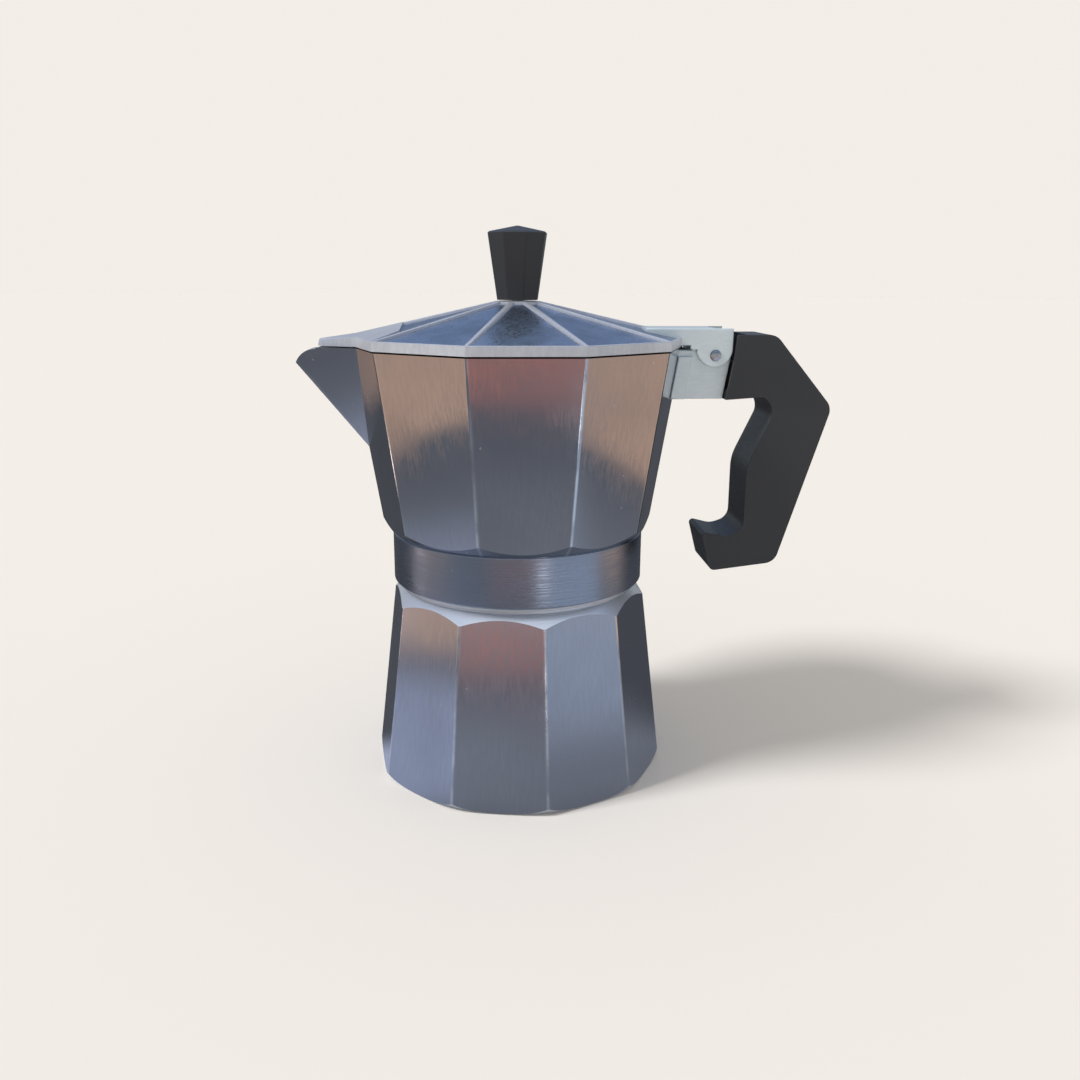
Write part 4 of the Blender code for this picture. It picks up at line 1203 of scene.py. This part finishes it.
@dataclass
class Handle:
    """Moulded handle with a rounded finger side, a tenon for the lug and a pocket for the lid's heel."""

    heights: Heights
    finishes: list[bpy.types.Material]
    half: float = 0.0094
    pocket_r: float = 0.0106
    pocket_half: float = 0.0080
    tenon_half: float = 0.0031
    eye_r: float = 0.0044
    pin_r: float = 0.0013
    nose_r: float = 0.0050
    lug_height: float = 0.0125
    lug_floor: float = 0.0014
    slant: float = 0.0021
    drop: float = 0.0636
    outer_edge: float = 0.0009
    finger_edge: float = 0.0034
    seam_edge: float = 0.0002
    lip: float = 0.0006
    top: float = 0.0059
    shoulder: float = 0.0170
    reach: float = 0.0345
    knee_drop: float = 0.0148
    heel_x: float = 0.0204
    heel_rise: float = 0.0024
    toe_x: float = 0.0008
    hook_nose: float = 0.0024
    hook_height: float = 0.0122
    hook_dip_x: float = 0.0046
    hook_dip: float = 0.0018
    grip_front: float = 0.0103
    grip_middle: float = 0.0320
    grip_back: float = 0.0178
    grip_back_drop: float = 0.0158
    crook_x: float = 0.0147
    crook_drop: float = 0.0117
    corner_r: float = 0.0042
    toe_r: float = 0.0018
    nose_tip_r: float = 0.0011
    dip_r: float = 0.0060
    middle_r: float = 0.0140
    back_r: float = 0.0048
    crook_r: float = 0.0030
    inside_top: float = 0.0112
    inside_foot: float = 0.0099
    inside_x: float = 0.0104
    inside_bend: float = 0.0345
    inside_slope: float = 0.46

    def corners(self) -> list[tuple[float, float, float]]:
        """Corners of the side outline as (x, z, radius) from the pin, clockwise from the top front."""
        front = self.nose_r + GAP
        toe = -self.drop
        nose = toe + self.hook_height
        return [
            (front + self.lip, self.top, self.lip),
            (self.shoulder, self.top, self.corner_r),
            (self.reach, -self.knee_drop, self.corner_r),
            (self.heel_x, toe + self.heel_rise, self.corner_r),
            (self.toe_x, toe, self.toe_r),
            (-self.hook_nose, nose, self.nose_tip_r),
            (self.hook_dip_x, nose - self.hook_dip, self.dip_r),
            (self.grip_front, nose, self.corner_r),
            (self.grip_front, -self.grip_middle, self.middle_r),
            (self.grip_back, -self.grip_back_drop, self.back_r),
            (self.crook_x, -self.crook_drop, self.crook_r),
            (front - self.slant, -self.lug_height, 0.0),
            (front, 0.0, 0.0),
        ]

    def build(self) -> bpy.types.Object:
        """Model and dress the handle."""
        x, z = self.heights.pin.x, self.heights.pin.z
        piece = Piece("moulded_handle", self.finishes).start(self.grip())
        pocket = rod(self.pocket_r, (x, -self.pocket_half, z), (x, self.pocket_half, z), steps=96)
        piece.shape(pocket, Operation.CUT)
        low = z - self.lug_height + self.lug_floor + GAP
        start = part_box("handle")[0].x
        piece.shape(self.tenon(start, low), Operation.JOIN)
        reach = self.tenon_half + OVER
        piece.shape(rod(self.pin_r + GAP, (x, -reach, z), (x, reach, z)), Operation.CUT)
        return piece.done("collector_body", "black_plastic", "handle", crease=35.0)

    def grip(self) -> Form:
        """The grip with a small rounding outside and a large one where the fingers lie."""
        place = self.heights.pin
        outline = rounded([(place.x + x, place.z + z, radius) for x, z, radius in self.corners()], 8)
        bm = plate(outline, self.half)
        weight = bm.edges.layers.float.new("bevel_weight_edge")
        for edge in bm.edges:
            a, b = edge.verts
            if abs(a.co.y - b.co.y) > MERGE:
                continue
            middle = (a.co + b.co) / 2
            edge[weight] = self.rounding(middle.x - place.x, middle.z - place.z) / self.finger_edge
        made = Piece("grip_form", self.finishes).start(bm)
        modifier = made.made.modifiers.new("round", "BEVEL")
        modifier.width = self.finger_edge
        modifier.segments = 6
        modifier.limit_method = "WEIGHT"
        modifier.use_clamp_overlap = True
        return made.form()

    def rounding(self, x: float, z: float) -> float:
        """Width of the edge rounding at a place of the outline, measured from the pin."""
        if x < self.nose_r + OVER and z > -self.lug_height - OVER / 2:
            return self.seam_edge
        furthest = self.inside_x + max(0.0, (z + self.inside_bend) * self.inside_slope)
        on_inside = self.inside_foot - self.drop < z < -self.inside_top and x < furthest
        return self.finger_edge if on_inside else self.outer_edge

    def tenon(self, start: float, low: float) -> Form:
        """The tongue that fills the lug's slot and turns round the pin."""
        x, z = self.heights.pin.x, self.heights.pin.z
        high = z - self.eye_r / 2
        end = x + self.pocket_r + OVER
        made = Piece("tenon_form", self.finishes)
        made.start(plate([(start, low), (end, low), (end, high), (start, high)], self.tenon_half))
        eye = rod(self.eye_r, (x, -self.tenon_half, z), (x, self.tenon_half, z))
        return made.shape(eye, Operation.JOIN).form()


@dataclass
class Knob:
    """Eight-sided knob on the lid."""

    plastic: bpy.types.Material
    sides: int = 8
    turn: float = radians(13.5)
    base_r: float = 0.0061
    top_r: float = 0.0088
    height: float = 0.0183
    chamfer: float = 0.0004
    peak: float = 0.0020
    edge: float = 0.0005
    insert_r: float = 0.0034
    screw_room: float = 0.0006

    def build(self) -> None:
        """Model and dress the knob, with the hole for its insert."""
        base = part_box("knob")[0].z
        top = base + self.height
        levels = [(self.base_r, base), (self.top_r, top), (self.top_r - self.chamfer, top + self.chamfer)]
        levels.append((self.chamfer, top + self.peak))
        piece = Piece("faceted_knob", [self.plastic])
        piece.start(prism(levels, self.sides, self.turn, self.edge))
        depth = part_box("knob_screw")[1].z + self.screw_room
        piece.shape(rod(self.insert_r + GAP, (0, 0, base - OVER), (0, 0, depth)), Operation.CUT)
        piece.done("lid_body", "black_plastic", "knob", crease=40.0)


@dataclass
class Valve:
    """Hexagonal safety valve on the boiler's side, with its washer and its spring."""

    brass: bpy.types.Material
    steel: bpy.types.Material
    fibre: bpy.types.Material
    sides_r: float = 0.0069
    hex_low: float = 0.0013
    hex_height: float = 0.0050
    shank_r: float = 0.0039
    chamber_r: float = 0.0026
    inlet_r: float = 0.0014
    inner: float = -0.0044
    seat: float = -0.0018
    coil_r: float = 0.0017
    wire_r: float = 0.00028
    coil_low: float = 0.0003
    coil_high: float = 0.0050
    coil_turns: int = 5
    coil_keep: float = 0.72
    foot: Vector = field(default_factory=lambda: Vector((0.00648, 0.03751, 0.038)))

    def axis(self) -> tuple[Vector, Vector]:
        """Two points on the valve's axis, inside and outside the boiler's wall."""
        along = self.direction()
        reach = 4 * abs(self.inner)
        return self.foot - along * reach, self.foot + along * reach

    def direction(self) -> Vector:
        """Unit vector out of the boiler along the plunger's slide."""
        slide = next(joint for joint in frame["joints"] if joint["name"] == "valve_slide")
        return Vector(slide["axis"]).normalized()

    def placed(self) -> Matrix:
        """Frame on the boiler's side with its Z out along the valve."""
        return Matrix.Translation(self.foot) @ self.direction().to_track_quat("Z", "X").to_matrix().to_4x4()

    def build(self) -> None:
        """Model and dress the valve's body and washer."""
        top = self.hex_low + self.hex_height
        chamfer = self.sides_r * (1 - cos(pi / 6)) * 0.8
        flank = self.sides_r * cos(pi / 6)
        cap = [(0.0, self.hex_low), (self.sides_r, self.hex_low), (self.sides_r, top - chamfer)]
        cap += [(flank, top), (0.0, top)]
        hexagon = prism([(self.sides_r, self.hex_low), (self.sides_r, top)], 6)
        piece = Piece("valve_hexagon", [self.brass]).start(hexagon)
        piece.shape(lathe(cap, steps=SMALL_STEPS), Operation.KEEP)
        piece.shape(rod(self.shank_r, (0, 0, self.inner), (0, 0, self.hex_low + OVER)), Operation.JOIN)
        piece.shape(rod(self.chamber_r, (0, 0, self.seat), (0, 0, top + OVER)), Operation.CUT)
        piece.shape(rod(self.inlet_r, (0, 0, self.inner - OVER), (0, 0, self.seat + OVER)), Operation.CUT)
        piece.place(self.placed())
        piece.done("boiler_body", "brass", "valve_body")
        low, high = GAP, self.hex_low - GAP
        bore = self.shank_r + GAP
        ring = [(bore, high), (flank, high), (flank, low), (bore, low)]
        washer = Piece("valve_fibre_washer", [self.fibre]).start(lathe(ring, steps=SMALL_STEPS))
        washer.place(self.placed())
        washer.done("boiler_body", "fibre", "valve_washer")
        self.coil()

    def coil(self) -> None:
        """The spring, a coil of steel wire round the valve's axis."""
        low, high = self.coil_low + self.wire_r, self.coil_high - self.wire_r
        section = arc((self.coil_r, low), self.wire_r, 0, 324, 9)
        pitch = (high - low) / self.coil_turns
        piece = Piece("valve_coil", [self.steel]).start(helix(section, pitch, self.coil_turns, 0.0))
        made = piece.place(self.placed()).done("boiler_body", "steel", "valve_spring")
        anchor = self.placed() @ Vector((0, 0, self.coil_high))
        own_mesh(made)


@dataclass
class Column:
    """Hollow column that the coffee rises through, with two ports below its closed top."""

    finishes: list[bpy.types.Material]
    base_r: float = 0.0070
    top_r: float = 0.0050
    bore_r: float = 0.0026
    spigot_r: float = 0.0043
    cap: float = 0.0030
    port_r: float = 0.0021

    def build(self, floor: float) -> bpy.types.Object:
        """Model and dress the column.

        Args:
            floor: height of the vessel's floor.

        Returns:
            The finished object.
        """
        low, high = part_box("riser_column")
        base, top = floor + GAP, high.z
        ceiling = top - self.cap
        crown = arc((self.top_r - self.cap / 2, top - self.cap / 2), self.cap / 2, 90, 0)
        profile = [(0.0, top), *crown, (self.base_r, base), (self.spigot_r, base), (self.spigot_r, low.z)]
        profile += [(self.bore_r, low.z), (self.bore_r, ceiling), (0.0, ceiling)]
        piece = Piece("coffee_column", self.finishes).start(lathe(profile, steps=96))
        port = ceiling - self.port_r
        ports = rod(self.port_r, (0, -self.base_r, port), (0, self.base_r, port), Zone.INSIDE)
        piece.shape(ports, Operation.CUT)
        return piece.done("collector_body", "cast_aluminium", "riser_column")


@dataclass
class HingePin:
    """Rivet with low domed heads, one of them slotted."""

    heights: Heights
    finish: bpy.types.Material
    radius: float = 0.0013
    head_r: float = 0.0015
    head: float = 0.0005
    half: float = 0.0080
    slot_half: float = 0.00015

    def build(self) -> bpy.types.Object:
        """Model and dress the pin."""
        end = self.half + self.head
        profile = [(0.0, end), (self.head_r * 0.6, end), (self.head_r, end - self.head / 2)]
        profile += [(self.head_r, self.half), (self.radius, self.half)]
        profile += [(radius, -z) for radius, z in reversed(profile)]
        piece = Piece("hinge_rivet", [self.finish]).start(lathe(profile, steps=SMALL_STEPS))
        slot = self.slot_half
        cutter = block((-self.head_r, -slot, end - slot), (self.head_r, slot, end + OVER))
        piece.shape(cutter, Operation.CUT)
        turn = Matrix.Rotation(pi / 2, 4, "X") @ Matrix.Rotation(radians(40), 4, "Z")
        piece.place(Matrix.Translation(self.heights.pin) @ turn)
        return piece.done("collector_body", "steel", "hinge_pin")


# ---------------------------------------------------------------- the studio


# Painted reflections on the card that only the metal sees. Near the pot: dark at the foot, a painted shade,
# then blue-grey.
NEAR_REFLECTIONS = (
    (0.0, (0.10, 0.11, 0.13)),
    (0.25, (0.23, 0.25, 0.29)),
    (0.5, (0.26, 0.28, 0.33)),
    (1.0, (0.15, 0.165, 0.20)),
)
# Further out: a warm painted reflection, then grey and pale blue-grey.
FAR_REFLECTIONS = (
    (0.0, (0.66, 0.45, 0.35)),
    (0.3, (0.66, 0.45, 0.35)),
    (0.45, (0.50, 0.48, 0.46)),
    (1.0, (0.62, 0.70, 0.70)),
)
ROOM_BANDS = (
    (0.0, (0.50, 0.56, 0.57)),
    (0.12, (0.34, 0.38, 0.42)),
    (0.35, (0.10, 0.14, 0.22)),
    (0.55, (0.24, 0.35, 0.62)),
    (0.80, (0.48, 0.60, 0.80)),
    (1.0, (0.80, 0.92, 1.10)),
)
GLINTS = ((288.0, 0.28, 0.034, (6.0, 6.4, 6.8)), (172.0, 0.29, 0.042, (9.0, 7.8, 8.0)))
NEAR_REACH = 0.25
FAR_REACH = 1.6
# Painted reflections: warm pink in front, pale sheens at the sides, painted shade at the back.
FRONT_WARM_REFLECTION = (0.50, 0.25, 0.23)
LEFT_SHEEN = (0.40, 0.45, 0.60)
RIGHT_SHEEN = (0.40, 0.46, 0.58)
BACK_SHADE = (0.085, 0.09, 0.105)


@dataclass
class Studio:
    """Pale floor, soft light, what the metal mirrors, and the camera.

    Attributes:
        paper: colour of the floor and of all that lies behind it.
        floor_r: radius of the floor.
        sun_strength: strength of the key light.
        sun_heading: where the key light stands, in degrees from +X.
        sun_elevation: its height above the floor, in degrees.
        sun_angle: its width in degrees, which softens the shadow.
        ambient: strength of the even light.
        warm_edge: where the warm band of the painted reflection starts at the sides.
        card_drop: how far the glowing card of painted reflections lies below the floor.
        glints: painted glints on the card of painted reflections, each a heading, a distance, a size and a
            colour.
        camera_place: place of the camera.
        camera_yaw: its turn to the right, in degrees.
        camera_tilt: its tilt down, in degrees.
        camera_roll: its roll, in degrees.
        lens: its focal length in millimetres.
    """

    paper: Colour = (0.893, 0.851, 0.803)
    floor_r: float = 8.0
    sun_strength: float = 2.20
    sun_heading: float = 197.0
    sun_elevation: float = 44.0
    sun_angle: float = 16.0
    ambient: float = 0.522
    warm_edge: float = 0.244
    card_drop: float = 0.0005
    glints: tuple[tuple[float, float, float, Colour], ...] = GLINTS
    camera_place: Triple = (-0.01481, -0.29963, 0.14640)
    camera_yaw: float = 4.12
    camera_tilt: float = 14.51
    camera_roll: float = 0.28
    lens: float = 34.04

    def build(self) -> None:
        """Make the whole studio."""
        self.floor()
        self.painted_reflection_card()
        self.world()
        self.sun()
        self.camera()

    def disc(self, name: str, radius: float, height: float) -> bpy.types.Object:
        """A flat disc of the stage."""
        bm = bmesh.new()
        bmesh.ops.create_circle(bm, cap_ends=True, radius=radius, segments=96)
        bmesh.ops.translate(bm, verts=bm.verts, vec=(0, 0, height))
        mesh = bpy.data.meshes.new(name)
        bm.to_mesh(mesh)
        bm.free()
        made = bpy.data.objects.new(name, mesh)
        bpy.context.scene.collection.objects.link(made)
        return made

    def floor(self) -> None:
        """Pale paper that shows the shadow and stays out of the metal's reflections."""
        made = self.disc("floor", self.floor_r, 0.0)
        paper = bpy.data.materials.new("paper")
        paper.use_nodes = True
        shader = paper.node_tree.nodes["Principled BSDF"]
        shader.inputs["Base Color"].default_value = (*self.paper, 1.0)
        shader.inputs["Roughness"].default_value = 1.0
        shader.inputs["Specular IOR Level"].default_value = 0.0
        made.data.materials.append(paper)
        made.visible_glossy = False

    def painted_reflection_card(self) -> None:
        """A glowing card that only the metal sees, painted with reflections: blue-grey near the pot and warm
        further out.
        """
        made = self.disc("painted_reflection_card", self.floor_r, -self.card_drop)
        for name in ("visible_camera", "visible_diffuse", "visible_transmission", "visible_shadow"):
            setattr(made, name, False)
        card_material = bpy.data.materials.new("painted_reflection_card")
        card_material.use_nodes = True
        tree = card_material.node_tree
        tree.nodes.clear()
        place = add(tree, "TexCoord").outputs["Object"]
        reach = add(tree, "VectorMath", {0: place}, operation="LENGTH").outputs["Value"]
        near = add(tree, "ValToRGB", {"Fac": maths(tree, "DIVIDE", reach, NEAR_REACH)})
        self.stops(near, NEAR_REFLECTIONS)
        parts = add(tree, "SeparateXYZ", {"Vector": place})
        front = maths(tree, "DIVIDE", parts.outputs["Y"], reach)
        right = maths(tree, "DIVIDE", parts.outputs["X"], reach)
        # Edge of the painted warm reflection, further out towards the front.
        edge = maths(tree, "MULTIPLY", ramp(tree, front, -0.08, -0.36), 0.06)
        corner = maths(tree, "MULTIPLY", ramp(tree, maths(tree, "SUBTRACT", right, front), 1.25, 1.40), 0.30)
        left = maths(tree, "MULTIPLY", right, -1.0)
        bay = maths(tree, "MULTIPLY", ramp(tree, maths(tree, "SUBTRACT", left, front), 1.335, 1.385), 0.30)
        edge = maths(tree, "ADD", maths(tree, "ADD", maths(tree, "ADD", edge, corner), bay), self.warm_edge)
        far_share = ramp(tree, maths(tree, "SUBTRACT", reach, edge), -0.012, 0.012)
        far = add(tree, "ValToRGB", {"Fac": maths(tree, "DIVIDE", reach, FAR_REACH)})
        self.stops(far, FAR_REFLECTIONS)
        # Painted warm pink reflection in front of the pot.
        front_reflection = ramp(tree, front, -0.75, -0.97)
        far_reflection = mixed(tree, front_reflection, far.outputs["Color"], FRONT_WARM_REFLECTION)
        distant = ramp(tree, reach, 0.55, 0.9)
        far_reflection = mixed(tree, distant, far_reflection, far.outputs["Color"])
        pale = ramp(tree, left, 0.3, 0.9)
        close = mixed(tree, pale, near.outputs["Color"], LEFT_SHEEN)
        close = mixed(tree, ramp(tree, reach, 0.14, 0.22), close, near.outputs["Color"])
        right_front = ramp(tree, maths(tree, "SUBTRACT", right, front), 1.22, 1.34)
        lit = maths(tree, "MULTIPLY", right_front, ramp(tree, reach, 0.09, 0.17))
        close = mixed(tree, lit, close, RIGHT_SHEEN)
        colour = mixed(tree, far_share, close, far_reflection)
        # Painted glints: bright spots on the card that the metal shows as highlights.
        for heading, distance, size, glint in self.glints:
            spot = (distance * cos(radians(heading)), distance * sin(radians(heading)), 0.0)
            away = add(tree, "VectorMath", {0: place, 1: spot}, operation="DISTANCE").outputs["Value"]
            colour = mixed(tree, ramp(tree, away, 0.0, size, 1.0, 0.0), colour, glint)
        # Painted shade in the reflections towards the back.
        colour = mixed(tree, ramp(tree, front, -0.05, 0.35), colour, BACK_SHADE)
        glow = add(tree, "Emission", {"Color": colour})
        output = add(tree, "OutputMaterial")
        tree.links.new(glow.outputs["Emission"], output.inputs["Surface"])
        made.data.materials.append(card_material)

    def stops(self, node: bpy.types.Node, stops: Sequence[tuple[float, Colour]]) -> None:
        """Set the stops of a colour ramp."""
        elements = node.color_ramp.elements
        while len(elements) < len(stops):
            elements.new(0.5)
        for element, (place, colour) in zip(elements, stops):
            element.position = place
            element.color = (*colour, 1.0)

    def world(self) -> None:
        """Paper colour to the camera, even light to matt surfaces and a room of soft bands to the metal."""
        world = bpy.data.worlds.new("studio")
        bpy.context.scene.world = world
        world.use_nodes = True
        tree = world.node_tree
        tree.nodes.clear()
        path = add(tree, "LightPath")
        up = add(tree, "SeparateXYZ", {"Vector": add(tree, "TexCoord").outputs["Generated"]}).outputs["Z"]
        bands = add(tree, "ValToRGB", {"Fac": up})
        self.stops(bands, ROOM_BANDS)
        room = add(tree, "Background", {"Color": bands.outputs["Color"], "Strength": 1.0})
        even = add(tree, "Background", {"Color": (1.0, 0.995, 0.985, 1.0), "Strength": self.ambient})
        paper = add(tree, "Background", {"Color": (*self.paper, 1.0), "Strength": 1.0})
        glossy, seen = path.outputs["Is Glossy Ray"], path.outputs["Is Camera Ray"]
        inner = add(tree, "MixShader", {0: glossy, 1: even.outputs[0], 2: room.outputs[0]})
        outer = add(tree, "MixShader", {0: seen, 1: inner.outputs[0], 2: paper.outputs[0]})
        output = add(tree, "OutputWorld")
        tree.links.new(outer.outputs[0], output.inputs["Surface"])

    def sun(self) -> None:
        """Wide soft key light from the left."""
        light = bpy.data.lights.new("key", "SUN")
        light.energy = self.sun_strength
        light.angle = radians(self.sun_angle)
        made = bpy.data.objects.new("key", light)
        heading, height = radians(self.sun_heading), radians(self.sun_elevation)
        towards = Vector((cos(heading) * cos(height), sin(heading) * cos(height), sin(height)))
        made.rotation_euler = towards.to_track_quat("Z", "Y").to_euler()
        made.visible_glossy = False
        bpy.context.scene.collection.objects.link(made)

    def camera(self) -> None:
        """Camera a little above the lid, a touch right of square on."""
        lens = bpy.data.cameras.new("camera")
        lens.lens = self.lens
        lens.clip_start = 0.01
        made = bpy.data.objects.new("camera", lens)
        yaw = Matrix.Rotation(radians(-self.camera_yaw), 4, "Z")
        tilt = Matrix.Rotation(radians(90 - self.camera_tilt), 4, "X")
        roll = Matrix.Rotation(radians(self.camera_roll), 4, "Z")
        made.matrix_world = Matrix.Translation(self.camera_place) @ yaw @ tilt @ roll
        bpy.context.scene.collection.objects.link(made)
        bpy.context.scene.camera = made


def dress_frame(materials: dict[str, bpy.types.Material]) -> None:
    """Give each part that is shown as it was made its own finish.

    Args:
        materials: the finishes by name.
    """
    dressed = {
        "funnel": "sheet",
        "funnel_screen": "sheet",
        "filter_plate": "sheet",
        "gasket": "rubber",
        "valve_seal": "rubber",
        "valve_plunger": "steel",
        "valve_retainer": "steel",
        "knob_insert": "brass",
        "knob_screw": "steel",
        "knob_washer": "steel",
    }
    for node, finish in dressed.items():
        mesh = frame["nodes"][node].data
        mesh.materials.clear()
        mesh.materials.append(materials[finish])
        LOG.info("%s: dressed as %s", node, finish)


def main() -> None:
    """Build the studio and the pot."""
    logging.basicConfig(level=logging.INFO, format="%(name)s: %(message)s")
    bpy.context.scene.view_settings.view_transform = "Standard"
    Studio().build()
    groups = {"grain": grain_group(), "corner": corner_group()}
    materials = {name: finish.material(groups) for name, finish in FINISHES.items()}
    heights = Heights.read(frame["joints"])
    valve = Valve(materials["brass"], materials["steel"], materials["fibre"])
    Boiler(heights, [materials[name] for name in ("boiler_outside", "inside", "neck")]).build(valve.axis())
    valve.build()
    collector = Collector(heights, [materials[name] for name in ("body_outside", "inside", "ring", "lug")])
    collector.build()
    Column([materials["neck"], materials["inside"]]).build(collector.floor)
    Lid(heights, [materials[name] for name in ("lid_rib", "inside", "lid_panel", "lug")]).build()
    Handle(heights, [materials["plastic"]]).build()
    HingePin(heights, materials["steel"]).build()
    Knob(materials["plastic"]).build()
    dress_frame(materials)


if __name__ == "__main__":
    main()
